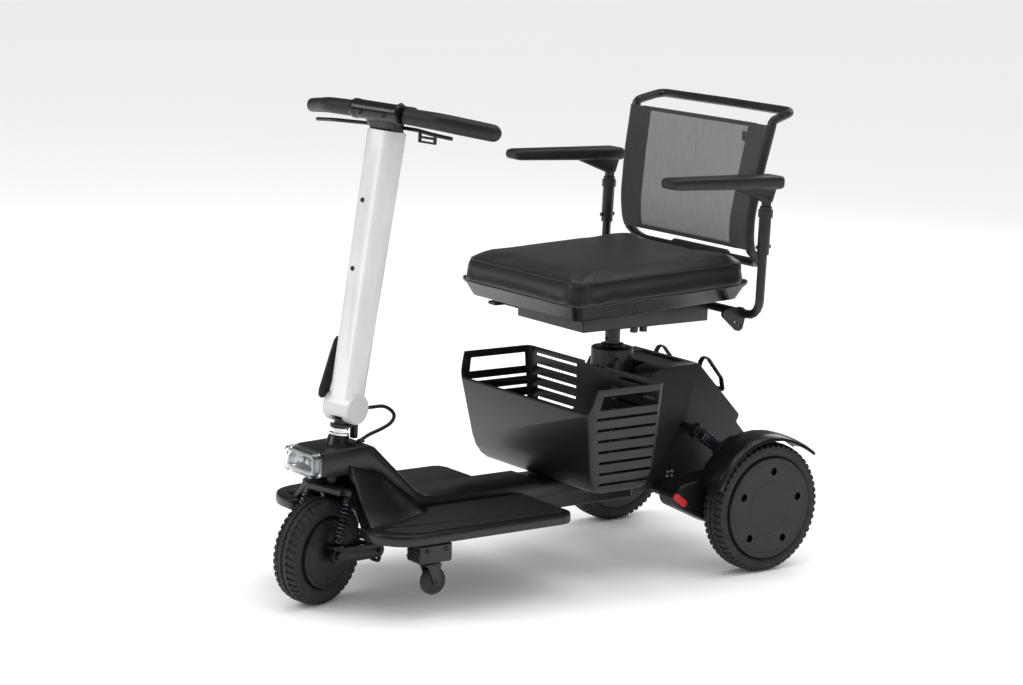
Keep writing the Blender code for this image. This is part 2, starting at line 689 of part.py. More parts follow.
def make_coil_spring(name, start, end, turns, radius, wire, finish, steps=8):
    """A helical spring that just fits between two points."""
    start, end = Vector(start), Vector(end)
    along = (end - start).normalized()
    across = along.orthogonal().normalized()
    other = along.cross(across)
    length = (end - start).length
    inset = wire * 1.1
    points = []
    for step in range(turns * steps + 1):
        turn = 2 * math.pi * step / steps
        rise = inset + (length - 2 * inset) * step / (turns * steps)
        points.append(start + along * rise + (across * math.cos(turn) + other * math.sin(turn)) * radius)
    return tube(name, points, wire, finish, 0)


def make_tyre(name, centre, radius, rim_radius, width, finish, segments=36):
    """A solid tyre turned round the X axis."""
    half = width / 2
    side = [(-half * 0.86, rim_radius), (-half, radius - 0.018),
            (-half * 0.95, radius - 0.006), (-half * 0.55, radius)]
    profile = side + [(-a, r) for a, r in reversed(side)]
    return turned(name, profile, centre, finish, "X", segments)


def make_front_hub(finish):
    """Front wheel body with its flat round covers."""
    face = FRONT_HUB_FACE
    rim = 0.0735 - GAP
    profile = [(-face, 0.0060 + GAP), (-face, 0.0690), (-0.0325, 0.0715), (-0.024, rim),
               (0.024, rim), (0.0325, 0.0715), (face, 0.0690), (face, 0.0060 + GAP)]
    return turned("front_hub", profile, FRONT_AXLE, finish, "X", 28)


# ---------------------------------------------------------------- tiller
def tiller_point(x, ahead, along):
    """A point in the tiller's own frame: across, in front of its middle, up its length."""
    lean = Vector((0, math.sin(TILLER_LEAN), math.cos(TILLER_LEAN)))
    front = Vector((0, -math.cos(TILLER_LEAN), math.sin(TILLER_LEAN)))
    return TILLER_HINGE + Vector((x, 0, 0)) + front * ahead + lean * along


def make_tiller_column(finish):
    """White column, closed at the top, whose foot is the hinge barrel."""
    outline = rounded_rectangle(TILLER_WIDTH / 2, TILLER_DEPTH / 2, 0.013, 3)
    rings = [[tiller_point(u, v, along) for u, v in outline] for along in (0.010, TILLER_LENGTH)]
    column = loft("tiller_column", rings, finish)
    half = HINGE_HALF - 0.0033
    barrel = rod("barrel", (-half, TILLER_HINGE.y, TILLER_HINGE.z),
                 (half, TILLER_HINGE.y, TILLER_HINGE.z), HINGE_RADIUS, finish, 32)
    union(column, barrel)
    room_half = HINGE_HALF - 0.0080
    room = rod("room", (-room_half, TILLER_HINGE.y, TILLER_HINGE.z),
               (room_half, TILLER_HINGE.y, TILLER_HINGE.z), 0.0215 + RUNNING_GAP, finish, 24)
    pin_bore = rod("pin_bore", (-0.06, TILLER_HINGE.y, TILLER_HINGE.z),
                   (0.06, TILLER_HINGE.y, TILLER_HINGE.z), 0.0060 + GAP, finish, 20)
    cut(column, room, pin_bore)
    inner = rounded_rectangle(TILLER_WIDTH / 2 - 0.0035, TILLER_DEPTH / 2 - 0.0035, 0.0095, 2)
    cut(column, loft("hollow", [[tiller_point(u, v, along) for u, v in inner]
                                for along in (0.045, TILLER_LENGTH + 0.02)], finish))
    sweep = []
    for step in range(7):
        turn = math.radians(-62 + 114 * step / 6)
        sweep.append((TILLER_HINGE.y + 0.045 * math.sin(turn), TILLER_HINGE.z - 0.045 * math.cos(turn)))
    slot = prism("slot", [(TILLER_HINGE.y, TILLER_HINGE.z)] + sweep, -0.0140, 0.0140, finish)
    cut(column, slot)
    for along in (0.277, 0.414):
        hole = rod("hole", tiller_point(-0.010, 0.020, along), tiller_point(-0.010, 0.040, along), 0.0040,
                   finish, 12)
        cut(column, hole)
    return column


def make_hinge_pin(finish):
    """Hinge pin of the tiller with a flat cap on each end."""
    y, z = TILLER_HINGE.y, TILLER_HINGE.z
    pin = rod("hinge_pin", (-HINGE_HALF + 0.001, y, z), (HINGE_HALF - 0.001, y, z), 0.0060, finish, 16)
    for _, side in SIDES:
        cap = rod("cap", (side * (HINGE_HALF - 0.0033 + GAP), y, z), (side * HINGE_HALF, y, z),
                  HINGE_RADIUS - 0.0008, finish, 32)
        union(pin, cap)
    return pin


LEVER_X = -0.0386
LEVER_HALF = 0.0036


def lever_pivot():
    return tiller_point(LEVER_X, 0.0060, 0.1270)


def make_release_lever(finish):
    """Flat lever on the right side of the column that frees the tilt lock."""
    outline = [(-0.0040, 0.1290), (0.0010, 0.1370), (0.0110, 0.1370), (0.0180, 0.1290), (0.0250, 0.1020),
               (0.0350, 0.0580), (0.0420, 0.0280), (0.0410, 0.0160), (0.0330, 0.0110), (0.0170, 0.0140),
               (0.0120, 0.0240), (0.0080, 0.0600), (0.0000, 0.1020)]
    rings = [[tiller_point(x, ahead, along) for ahead, along in outline]
             for x in (LEVER_X - LEVER_HALF, LEVER_X + LEVER_HALF)]
    lever = rounded(loft("release_lever", rings, finish), 0.0015, 1, 60)
    pivot = lever_pivot()
    inner = Vector((-TILLER_WIDTH / 2 - GAP, pivot.y, pivot.z))
    return union(lever, rod("boss", pivot, inner, 0.0060, finish, 12))


def bar_path(side, shortfall):
    """Centre line of the handlebar from its middle to short of one grip's end."""
    bend = mirrored(BAR_BEND, side)
    end = mirrored(GRIP_END, side)
    stop = end - (end - bend).normalized() * shortfall
    return bent_path([BAR_MIDDLE, bend, stop], 0.060, 4)


def make_handlebar(finish):
    """Clamp on the column, the sleeve round the bar and the bar inside the grips."""
    start, end = BAR_MIDDLE - Vector((SLEEVE_HALF, 0, 0)), BAR_MIDDLE + Vector((SLEEVE_HALF, 0, 0))
    sleeve = rod("handlebar", start, end, 0.0190, finish, 24)
    rounded(sleeve, 0.002, 1, 60)
    low = [tiller_point(u, v, TILLER_LENGTH + GAP)
           for u, v in rounded_rectangle(TILLER_WIDTH / 2, TILLER_DEPTH / 2, 0.013, 3)]
    high = [BAR_MIDDLE + Vector((u, 0.004 - v, 0.0))
            for u, v in rounded_rectangle(0.0400, 0.0165, 0.010, 3)]
    union(sleeve, loft("clamp", [low, high], finish))
    for _, side in SIDES:
        union(sleeve, tube("bar", bar_path(side, 0.0120), 0.0085, finish, 2))
    return sleeve


def make_grip(name, side, finish):
    """Rubber grip that follows the bend of the bar and thickens towards its round end."""
    start = BAR_MIDDLE.lerp(mirrored(BAR_BEND, side), (SLEEVE_HALF + 0.003) / BAR_BEND.x)
    path = bent_path([start, mirrored(BAR_BEND, side), mirrored(GRIP_END, side)], 0.060, 4)
    rings = []
    count = 16
    last = len(path) - 1
    sizes = [0.0163 + 0.0008 * i / last for i in range(last)]
    ends = [(0.0, sizes[-1] + 0.0003), (0.010, 0.0150), (0.0155, 0.0105), (0.0175, 0.0040)]
    stations = [(path[i], path[min(i + 1, last)] - path[max(i - 1, 0)], sizes[i]) for i in range(last)]
    outward = (path[last] - path[last - 1]).normalized()
    stations += [(path[last] - outward * (0.0175 - along), outward, radius) for along, radius in ends]
    for centre, direction, radius in stations:
        direction = direction.normalized()
        across = direction.cross(Vector((0, 0, 1))).normalized()
        over = across.cross(direction)
        rings.append([centre + (across * math.cos(2 * math.pi * i / count)
                                + over * math.sin(2 * math.pi * i / count)) * radius
                      for i in range(count)])
    grip = loft(name, rings, finish)
    bore = tube("bore", bar_path(side, 0.0115), 0.0085 + RUNNING_GAP, finish, 2)
    return cut(grip, bore)


def pod_point(x, depth, up):
    """A point on the control panel's own axes; its face looks up at the rider."""
    tilt = Matrix.Rotation(POD_TILT, 3, "X")
    return BAR_MIDDLE + POD_OFFSET + tilt @ Vector((x, depth, up))


def make_control_pod(finish):
    """Rider's control panel behind the bar sleeve."""
    outline = rounded_rectangle(0.0520, 0.0130, 0.006, 3)
    rings = []
    for depth, shrink in ((0.0, 1.0), (POD_FACE - 0.004, 1.0), (POD_FACE, 0.93)):
        rings.append([pod_point(u * shrink, depth, v * shrink) for u, v in outline])
    pod = loft("control_pod", rings, finish)
    pivot = rocker_pivot()
    union(pod, rod("rocker_pin", pivot + Vector((0, 0, 0.006 + GAP)), pivot + Vector((0, 0, 0.0200)), 0.0040,
                   finish, 12))
    well = rod("well", pod_point(HORN_X, POD_FACE - 0.0065, 0), pod_point(HORN_X, POD_FACE + 0.01, 0),
               0.0078, finish, 16)
    return cut(pod, well)


def make_speed_dial(finish):
    dial = rod("speed_dial", pod_point(0, POD_FACE + GAP, 0), pod_point(0, POD_FACE + 0.010, 0), 0.0112,
               finish, 20)
    rounded(dial, 0.0012, 1, 60)
    pointer = box("pointer", (-0.0010, 2 * GAP, 0.006), (0.0010, 0.0112, 0.0107), finish)
    tilt = Matrix.Rotation(POD_TILT, 4, "X")
    pointer.data.transform(Matrix.Translation(pod_point(0, POD_FACE, 0)) @ tilt)
    return union(dial, pointer)


def make_horn_button(finish):
    button = rod("horn_button", pod_point(HORN_X, POD_FACE - 0.0025, 0),
                 pod_point(HORN_X, POD_FACE + 0.0050, 0), 0.0070, finish, 16)
    return rounded(button, 0.0008, 1, 60)


def rocker_pivot():
    return BAR_MIDDLE + Vector((0, 0.0690, -0.0360))


def make_throttle_lever(finish):
    """Rocking finger bar under both grips, with an open paddle at the left hand."""
    z = rocker_pivot().z
    left = [(0.048, rocker_pivot().y - 0.004, z), (0.112, -0.3240, z), (0.152, -0.3180, z - 0.0030)]
    right = [(-0.215, -0.2960, z - 0.0100), (-0.140, -0.3310, z), (-0.048, rocker_pivot().y - 0.004, z)]
    lever = tube("throttle_lever", bent_path(right + left, 0.03, 3), 0.0042, finish, 1)
    boss = rod("boss", rocker_pivot() - Vector((0, 0, 0.006)), rocker_pivot() + Vector((0, 0, 0.006)),
               0.0090, finish, 16)
    paddle = box("paddle", (0.068, -0.3200, z - 0.0200), (0.112, -0.3140, z + 0.0030), finish, 0.001)
    for low in (-0.0165, -0.0070):
        cut(paddle, box("window", (0.073, -0.36, z + low), (0.107, -0.28, z + low + 0.0055), finish))
    return union(lever, boss, paddle)


def cable_route(steering):
    """Centre line of the lead from the hinge barrel down to the lamp box, in world coordinates."""
    turned_part = [(0.000, -0.3905, 0.3775), (0.000, -0.3680, 0.3795), (0.000, -0.3443, 0.3793),
                   (0.000, -0.3049, 0.3753), (0.000, -0.2795, 0.3633), (0.000, -0.2679, 0.3493),
                   (0.000, -0.2775, 0.3367), (0.000, -0.3042, 0.3290)]
    landing = [Vector((-0.008, -0.3600, 0.3275)), Vector((0.0190, -0.3950, 0.3275))]
    return [steering @ Vector(point) for point in turned_part] + landing


def smooth_path(points, per_span=5):
    """A Catmull-Rom curve through points."""
    padded = [points[0] * 2 - points[1]] + points + [points[-1] * 2 - points[-2]]
    path = []
    for a, b, c, d in zip(padded, padded[1:], padded[2:], padded[3:]):
        for step in range(per_span):
            t = step / per_span
            path.append(0.5 * ((2 * b) + (c - a) * t + (2 * a - 5 * b + 4 * c - d) * t * t
                               + (3 * b - a - 3 * c + d) * t * t * t))
    path.append(points[-1])
    return path


# ---------------------------------------------------------------- seat
def seat_rim(y):
    """Height of the seat pan's rim at a place along the seat."""
    return SEAT_RIM + (y - SEAT_FRONT) * SEAT_SLOPE


def seat_ring(inset, lift, radius, steps=4):
    """A rounded outline of the seat at a height above or below the sloping rim."""
    middle = (SEAT_FRONT + SEAT_REAR) / 2
    half_length = (SEAT_REAR - SEAT_FRONT) / 2 - inset
    shape = rounded_rectangle(SEAT_HALF - inset, half_length, radius, steps, (0.0, middle))
    return [(x, y, seat_rim(y) + lift) for x, y in shape]


def make_seat_pan(finish):
    """Moulded tray under the cushion."""
    rings = [seat_ring(0.040, -0.0400, 0.014), seat_ring(0.018, -0.0370, 0.017),
             seat_ring(0.007, -0.0130, 0.018), seat_ring(0.000, -0.0040, 0.019),
             seat_ring(0.000, 0.0030, 0.019)]
    pan = loft("seat_pan", rings, finish)
    notch = box("hinge_room", (-0.095, 0.4120, 0.56), (0.095, 0.47, 0.66), finish)
    return cut(pan, notch)


def make_cushion(finish):
    """Plain solid of the seat cushion, crowned over its top."""
    rings = [seat_ring(0.008, 0.0036, 0.022), seat_ring(0.003, 0.0100, 0.024),
             seat_ring(0.003, 0.0400, 0.024), seat_ring(0.012, 0.0490, 0.024),
             seat_ring(0.055, 0.0570, 0.022), seat_ring(0.120, 0.0610, 0.020)]
    cushion = loft("seat_cushion", rings, finish)
    notch = box("hinge_room", (-0.098, 0.4120, 0.56), (0.098, 0.47, 0.72), finish)
    return cut(cushion, notch)


BRACKET_HALF = 0.115
BRACKET_FRONT = 0.077
BRACKET_REAR = 0.4128
BRACKET_LOW = 0.520


def bracket_top(y):
    """Height of the cradle's top, just under the seat pan."""
    return seat_rim(y) - 0.0404


def make_seat_bracket(finish):
    """Folded steel cradle under the pan, with the swivel head that sits on the post."""
    wall, top_wall = 0.004, 0.003
    outer = [(BRACKET_FRONT, BRACKET_LOW), (BRACKET_REAR, BRACKET_LOW),
             (BRACKET_REAR, bracket_top(BRACKET_REAR)), (BRACKET_FRONT, bracket_top(BRACKET_FRONT))]
    front, rear = BRACKET_FRONT + wall, BRACKET_REAR - wall
    inner = [(front, BRACKET_LOW - 0.01), (rear, BRACKET_LOW - 0.01),
             (rear, bracket_top(rear) - top_wall), (front, bracket_top(front) - top_wall)]
    cradle = rounded(prism("seat_bracket", outer, -BRACKET_HALF, BRACKET_HALF, finish), 0.002, 1)
    cut(cradle, prism("inside", inner, wall - BRACKET_HALF, BRACKET_HALF - wall, finish))
    head = rod("head", (POST.x, POST.y, 0.5060), (POST.x, POST.y, 0.5640), 0.0400, finish, 24)
    rib = box("rib", (wall / 2 - BRACKET_HALF, POST.y - 0.030, 0.5240),
              (BRACKET_HALF - wall / 2, POST.y + 0.030, 0.5400), finish)
    union(cradle, rib, head)
    for y in (POST.y - 0.023, POST.y + 0.002):
        knob = rod("knob", (0.100, y, 0.5080), (0.100, y, 0.5300), 0.0085, finish, 10)
        union(cradle, knob)
    socket = rod("socket", (POST.x, POST.y, 0.45), (POST.x, POST.y, 0.5420), 0.0130 + RUNNING_GAP,
                 finish, 20)
    return cut(cradle, socket)


def make_seat_post(finish):
    """Sliding post with the spigot that the swivel head turns on."""
    x, y = POST.x, POST.y
    post = rod("seat_post", (x, y, 0.2000), (x, y, 0.5050), POST_RADIUS, finish, 24)
    union(post, rod("spigot", (x, y, 0.5040), (x, y, 0.5410), 0.0130, finish, 20))
    hole = rod("pin_hole", (x, y - 0.03, 0.4780), (x, y + 0.03, 0.4780), 0.0035, finish, 12)
    return cut(post, hole)


SWIVEL_LEVER = Vector((-0.126, 0.0900, 0.5440))


def make_swivel_lever(finish):
    """Pull lever at the right front corner that frees the swivel."""
    x, y = SWIVEL_LEVER.x, SWIVEL_LEVER.y
    lever = rod("swivel_lever", (x, y, 0.5350), (x, y, 0.5405), 0.0105, finish, 20)
    union(lever, box("bar", (-0.2000, y - 0.009, 0.5350), (x, y + 0.009, 0.5405), finish))
    paddle = box("paddle", (-0.2060, y - 0.026, 0.5320), (-0.1790, y + 0.026, 0.5400), finish, 0.002)
    return union(lever, paddle)


def make_backrest_hinge(finish):
    """Sleeve round the backrest's lower tube and the bracket that ties it to the seat."""
    sleeve = turned("backrest_hinge", [(-0.085, BACK_TUBE + RUNNING_GAP), (0.085, BACK_TUBE + RUNNING_GAP),
                                       (0.085, 0.0160), (-0.085, 0.0160)], BACK_HINGE, finish, "X", 20)
    outline = [(BRACKET_REAR + GAP, 0.5610), (BRACKET_REAR + GAP, 0.5722), (0.4200, 0.5790), (0.4640, 0.6470),
               (0.4700, 0.6400), (0.4240, 0.5635)]
    arm = prism("arm", outline, -0.060, 0.060, finish)
    return union(sleeve, arm)


def make_armrest_frame(finish):
    """Cross tube under the seat that turns up at both ends into the armrest posts."""
    lean = Vector((0, math.sin(ARM_LEAN), math.cos(ARM_LEAN)))
    corners = []
    for side in (-1, 1):
        foot = mirrored(ARM_FOOT, side)
        top = foot + lean * 0.150
        turn = foot - lean * 0.0420
        corners.append([top, turn])
    cross_y, cross_z = corners[0][1].y, corners[0][1].z
    path = [corners[0][0], corners[0][1], corners[1][1], corners[1][0]]
    frame = tube("armrest_frame", bent_path(path, 0.034, 5), 0.0095, finish, 2)
    for _, side in SIDES:
        low, high = span(0.2120, 0.2180, side)
        lobe_y = cross_y - 0.009
        lobe = hull("lobe", [(lobe_y, cross_z, 0.0150), (lobe_y - 0.004, cross_z - 0.024, 0.0130),
                             (lobe_y - 0.042, cross_z + 0.0020, 0.0080)], low, high, finish, 12)
        hole = rod("hole", (side * 0.19, lobe_y - 0.001, cross_z - 0.0250),
                   (side * 0.25, lobe_y - 0.001, cross_z - 0.0250), 0.0030, finish, 10)
        window = box("window", (min(side * 0.19, side * 0.25), lobe_y - 0.016, cross_z - 0.0200),
                     (max(side * 0.19, side * 0.25), lobe_y - 0.010, cross_z - 0.0140), finish)
        cut(lobe, hole, window)
        union(frame, lobe)
    return frame


def make_arm_post(name, side, finish):
    """Outer tube that slides on the frame's end, with its collar and the pad's hinge fork."""
    lean = Vector((0, math.sin(ARM_LEAN), math.cos(ARM_LEAN)))
    foot = mirrored(ARM_FOOT, side)
    low, top = foot + lean * 0.0900, foot + lean * 0.1905
    post = rod(name, low, top, 0.0128, finish, 20)
    union(post, rod("collar", foot + lean * 0.168, foot + lean * 0.184, 0.0155, finish, 20))
    for turn in (-1, 1):
        start = foot + lean * 0.106 + Vector((0, turn * 0.0100, 0))
        union(post, rod("bolt", start, start + Vector((0, turn * 0.0080, 0)), 0.0042, finish, 8))
    x_low, x_high = ARM_X * side - 0.0045, ARM_X * side + 0.0045
    tongue = hull("tongue", [(top.y, top.z - 0.006, 0.0095), (ARM_FLIP.y, ARM_FLIP.z, 0.0095)],
                  x_low, x_high, finish, 16)
    union(post, tongue)
    bore = rod("bore", foot + lean * 0.05, foot + lean * 0.172, 0.0095 + RUNNING_GAP, finish, 20)
    pin_bore = rod("pin_bore", mirrored((ARM_X - 0.03, ARM_FLIP.y, ARM_FLIP.z), side),
                   mirrored((ARM_X + 0.03, ARM_FLIP.y, ARM_FLIP.z), side), 0.0040 + RUNNING_GAP, finish, 12)
    return cut(post, bore, pin_bore)


def pad_height(y):
    """Height of the pad's middle: it falls slightly towards the rear."""
    return 0.8440 - (y - 0.150) * 0.030


def make_arm_pad(name, side, finish):
    """Armrest pad on its hinge bracket, which straddles the post's tongue."""
    x = ARM_X * side
    rings = []
    for y, half, thick in ((0.158, 0.0180, 0.0065), (0.162, 0.0225, 0.0095), (0.172, 0.0250, 0.0115),
                           (0.300, 0.0255, 0.0130), (0.443, 0.0255, 0.0145), (0.454, 0.0235, 0.0130),
                           (0.458, 0.0190, 0.0090)):
        shape = rounded_rectangle(half, thick, min(thick * 0.85, 0.0085), 3, (PAD_X * side, pad_height(y)))
        rings.append([(u, y, v) for u, v in shape])
    pad = loft(name, rings, finish)
    under = pad_height(0.42) - 0.0125
    for offset in (-0.0105, 0.0060):
        cheek = hull("cheek", [(ARM_FLIP.y, ARM_FLIP.z, 0.0095), (0.3500, under + 0.001, 0.0030),
                               (0.4440, under, 0.0040)], x + offset, x + offset + 0.0045, finish, 12)
        union(pad, cheek)
    pin = rod("pin", (x - 0.0130, ARM_FLIP.y, ARM_FLIP.z), (x + 0.0130, ARM_FLIP.y, ARM_FLIP.z),
              0.0040, finish, 12)
    return union(pad, pin)


# The uprights' centre line: across, along and height of each point.
UPRIGHT = ((0.2050, 0.4447, 0.680), (0.2065, 0.4370, 0.700), (0.2095, 0.4340, 0.750),
           (0.2180, 0.4470, 0.850), (0.2270, 0.4690, 0.956))


def upright_at(height):
    """Across and along position of an upright's centre line at a height."""
    for low, high in zip(UPRIGHT, UPRIGHT[1:]):
        if height <= high[2]:
            break
    share = (height - low[2]) / (high[2] - low[2])
    return low[0] + (high[0] - low[0]) * share, low[1] + (high[1] - low[1]) * share


def make_backrest_frame(finish):
    """One bent tube: hinge tube below, uprights, and the handle behind the top."""
    left = [(0.0, BACK_HINGE.y, BACK_HINGE.z), (0.2030, BACK_HINGE.y, BACK_HINGE.z), *UPRIGHT,
            (0.2180, 0.5310, 0.9720), (0.0, 0.5330, 0.9725)]
    right = [(-x, y, z) for x, y, z in reversed(left[1:-1])]
    corners = [Vector(point) for point in left + right]
    bends = (0.024, None, None, None, None, 0.017, 0.020)
    path = ring_path(corners, (None, *bends, None, *reversed(bends)))
    return ring_tube("backrest_frame", path, BACK_TUBE, finish, 10)


def ring_path(corners, radii, steps=3):
    """A closed path whose named corners are arcs; a corner of None stays a point."""
    path = []
    count = len(corners)
    for i, corner in enumerate(corners):
        if radii[i] is None:
            path.append(corner)
            continue
        before, after = corners[i - 1], corners[(i + 1) % count]
        arc = bent_path([before, corner, after], radii[i], steps)
        path += arc[1:-1]
    return path


def ring_tube(name, path, radius, finish, count):
    """A closed tube round a path, its rings kept from twisting."""
    total = len(path)
    tangents = [(path[(i + 1) % total] - path[i - 1]).normalized() for i in range(total)]
    normal = tangents[0].orthogonal().normalized()
    normals = [normal]
    for before, after in zip(tangents, tangents[1:]):
        normal = before.rotation_difference(after) @ normal
        normals.append(normal)
    closing = tangents[-1].rotation_difference(tangents[0]) @ normals[-1]
    twist = closing.angle(normals[0])
    if closing.cross(normals[0]).dot(tangents[0]) < 0:
        twist = -twist
    rings = []
    for i, (point, tangent, normal) in enumerate(zip(path, tangents, normals)):
        fixed = Matrix.Rotation(twist * (i + 1) / total, 3, tangent) @ normal
        other = tangent.cross(fixed)
        rings.append([point + (fixed * math.cos(2 * math.pi * k / count)
                               + other * math.sin(2 * math.pi * k / count)) * radius
                      for k in range(count)])
    return loft(name, rings, finish, closed=True)


def make_backrest_mesh(finish):
    """Plain panel of the backrest's fabric, between the uprights."""
    rings = []
    for height in (0.6860, 0.7000, 0.7500, 0.8000, 0.8500, 0.9400):
        across, edge_y = upright_at(height)
        half = across - BACK_TUBE - 0.0012
        sag = 0.010 * math.sin(math.pi * (height - 0.66) / 0.30)
        front = [(half * k / 3, edge_y - 0.0025 + sag * (1 - (k / 3) ** 2), height) for k in range(-3, 4)]
        back = [(x, y + 0.0050, z) for x, y, z in reversed(front)]
        rings.append(front + back)
    return loft("backrest_mesh", rings, finish)


# ---------------------------------------------------------------- basket
SLOT_PITCH = 0.0239
BASKET_BOTTOM, BASKET_TOP = 0.1975, 0.4265
BASKET_WALL = 0.0028


def basket_ring(height, grow):
    """Outline of the basket at a height; grow moves it outwards."""
    share = (height - 0.250) / (BASKET_TOP - 0.250)
    half = 0.2145 + 0.0225 * share
    front = 0.0330 - 0.0310 * share
    rear = 0.2035 - 0.0008 * share
    if height < 0.25:
        drop = (0.25 - height) / (0.25 - BASKET_BOTTOM)
        curve = 1 - math.sqrt(max(0.0, 1 - drop * drop))
        half -= 0.016 * curve
        front += 0.026 * curve
        rear -= 0.024 * curve
    middle = (front + rear) / 2
    shape = rounded_rectangle(half + grow, (rear - front) / 2 + grow, 0.013 + grow, 3, (0.0, middle))
    return [(x, y, height) for x, y in shape]


def make_basket(finish):
    """Open basket under the seat, with slotted sides and back and a lower front."""
    levels = (BASKET_BOTTOM, 0.2000, 0.2095, 0.2270, 0.2500, BASKET_TOP)
    basket = loft("basket", [basket_ring(z, 0.0) for z in levels], finish)
    inner = (BASKET_BOTTOM + BASKET_WALL, 0.2095, 0.2270, 0.2500, 0.4500)
    cut(basket, loft("room", [basket_ring(z, -BASKET_WALL) for z in inner], finish))
    dip = [(-0.06, 0.47), (0.0405, 0.47), (0.0225, 0.4080), (0.0130, 0.3730), (0.0090, 0.3640),
           (-0.06, 0.3640)]
    cut(basket, prism("dip", dip, -0.30, 0.30, finish))
    cut(basket, box("post_notch", (-0.0360, 0.17, 0.4215), (0.0360, 0.23, 0.45), finish))
    handle = prism("handle", [(0.0440, 0.4115), (0.1890, 0.4115), (0.1890, 0.3820), (0.0380, 0.3820)],
                   -0.30, 0.30, finish)
    cut(basket, handle)
    for i in range(7):
        z = 0.3630 - SLOT_PITCH * i
        start = 0.0335 + 0.0045 * i
        cut(basket, box("slot", (-0.30, start, z - 0.0030), (0.30, 0.1900, z + 0.0030), finish))
    for _, side in SIDES:
        for i in range(8):
            z = 0.4110 - SLOT_PITCH * i
            low, high = span(0.0610, 0.2080 - 0.0022 * i, side)
            cut(basket, box("slot", (low, 0.17, z - 0.0030), (high, 0.23, z + 0.0030), finish))
    return basket


# ---------------------------------------------------------------- rear wheels
SWING_PIVOT = Vector((0.0, 0.2960, 0.1660))
SHOCK_FOOT = (0.4486, 0.2348)
SHOCK_HEAD = (0.3705, 0.2869)
SHOCK_MOUNT = (0.3607, 0.2934)
SHOCK_X = 0.1500


def make_swing_arm(name, side, finish):
    """Trailing arm with the gear motor, the shock's foot and the wheel's stub axle."""
    low, high = span(0.1480, 0.2060, side)
    arm = hull(name, [(SWING_PIVOT.y, SWING_PIVOT.z, 0.0280), (REAR_AXLE.y, REAR_AXLE.z, 0.0480),
                      (0.3930, 0.1500, 0.0560)], low, high, finish, 20)
    rounded(arm, 0.003, 1, 60)
    foot_low, foot_high = span(SHOCK_X - 0.012, SHOCK_X + 0.012, side)
    foot = hull("foot", [(0.4300, 0.1800, 0.020), (SHOCK_FOOT[0] + 0.005, SHOCK_FOOT[1] - 0.0065, 0.0100)],
                foot_low, foot_high, finish, 12)
    axle = rod("axle", mirrored((0.1900, REAR_AXLE.y, REAR_AXLE.z), side),
               mirrored((0.2640, REAR_AXLE.y, REAR_AXLE.z), side), 0.0100, finish, 16)
    pivot = rod("pivot", mirrored((CASING_HALF + GAP, SWING_PIVOT.y, SWING_PIVOT.z), side),
                mirrored((0.1500, SWING_PIVOT.y, SWING_PIVOT.z), side), 0.0120, finish, 16)
    return union(arm, foot, axle, pivot)


def make_rear_hub(name, side, finish):
    """Rear wheel body with a flat outer disc that has five round pockets."""
    rim = 0.1110 - GAP
    stations = [(0.2290, rim), (0.2770, rim), (0.2815, 0.1095), (REAR_HUB_FACE_X, 0.1080)]
    centre = Vector((0.0, REAR_AXLE.y, REAR_AXLE.z))
    hub = solid_turned(name, [(a * side, r) for a, r in stations], centre, finish, 36)
    bore = rod("bore", mirrored((0.20, centre.y, centre.z), side),
               mirrored((0.2655, centre.y, centre.z), side),
               0.0100 + RUNNING_GAP, finish, 16)
    cut(hub, bore)
    for i in range(5):
        turn = math.radians(5.35 + 72 * i)
        y = centre.y + 0.0794 * math.sin(turn)
        z = centre.z + 0.0794 * math.cos(turn)
        pocket = rod("pocket", (side * (REAR_HUB_FACE_X - 0.010), y, z), (side * 0.30, y, z), 0.0085,
                     finish, 10)
        cut(hub, pocket)
    return hub


def make_fender(name, side, finish):
    """Mudguard over a rear wheel, carried by the swing arm."""
    thick = 0.0030
    outer = [(0.2130, 0.1540), (0.2180, 0.1575), (0.2330, 0.1595), (0.2600, 0.1590), (0.2780, 0.1565),
             (0.2860, 0.1525), (0.2885, 0.1460)]
    inner = [(a - (0.0030 if a > 0.28 else 0.0), r - thick if a < 0.288 else r) for a, r in outer]
    profile = outer + list(reversed(inner))
    rings = []
    start, end, steps = 159, 41, 12
    for i in range(steps + 1):
        turn = math.radians(start + (end - start) * i / steps)
        flare = 0.010 * max(0.0, (i - 9) / 3) ** 2
        ring = []
        for a, r in profile:
            radius = r + flare
            ring.append((a * side, REAR_AXLE.y + radius * math.cos(turn),
                         REAR_AXLE.z + radius * math.sin(turn)))
        rings.append(ring)
    fender = loft(name, rings, finish)
    stay_low, stay_high = span(0.2066, 0.2160, side)
    stay = hull("stay", [(0.4100, 0.1950, 0.0120), (0.3720, 0.2600, 0.0100), (0.4150, 0.2790, 0.0090)],
                stay_low, stay_high, finish, 12)
    return union(fender, stay)


BRAKE_PIVOT = Vector((0.0, 0.2880, 0.1550))


def make_brake_lever(name, side, finish):
    """Freewheel lever with a red grip on the outside of the swing arm."""
    x = 0.2064 + GAP
    low, high = span(x, x + 0.006, side)
    lever = hull(name, [(BRAKE_PIVOT.y, BRAKE_PIVOT.z, 0.0080), (0.2660, 0.1715, 0.0070)],
                 low, high, finish, 12)
    return rounded(lever, 0.0012, 1, 60)


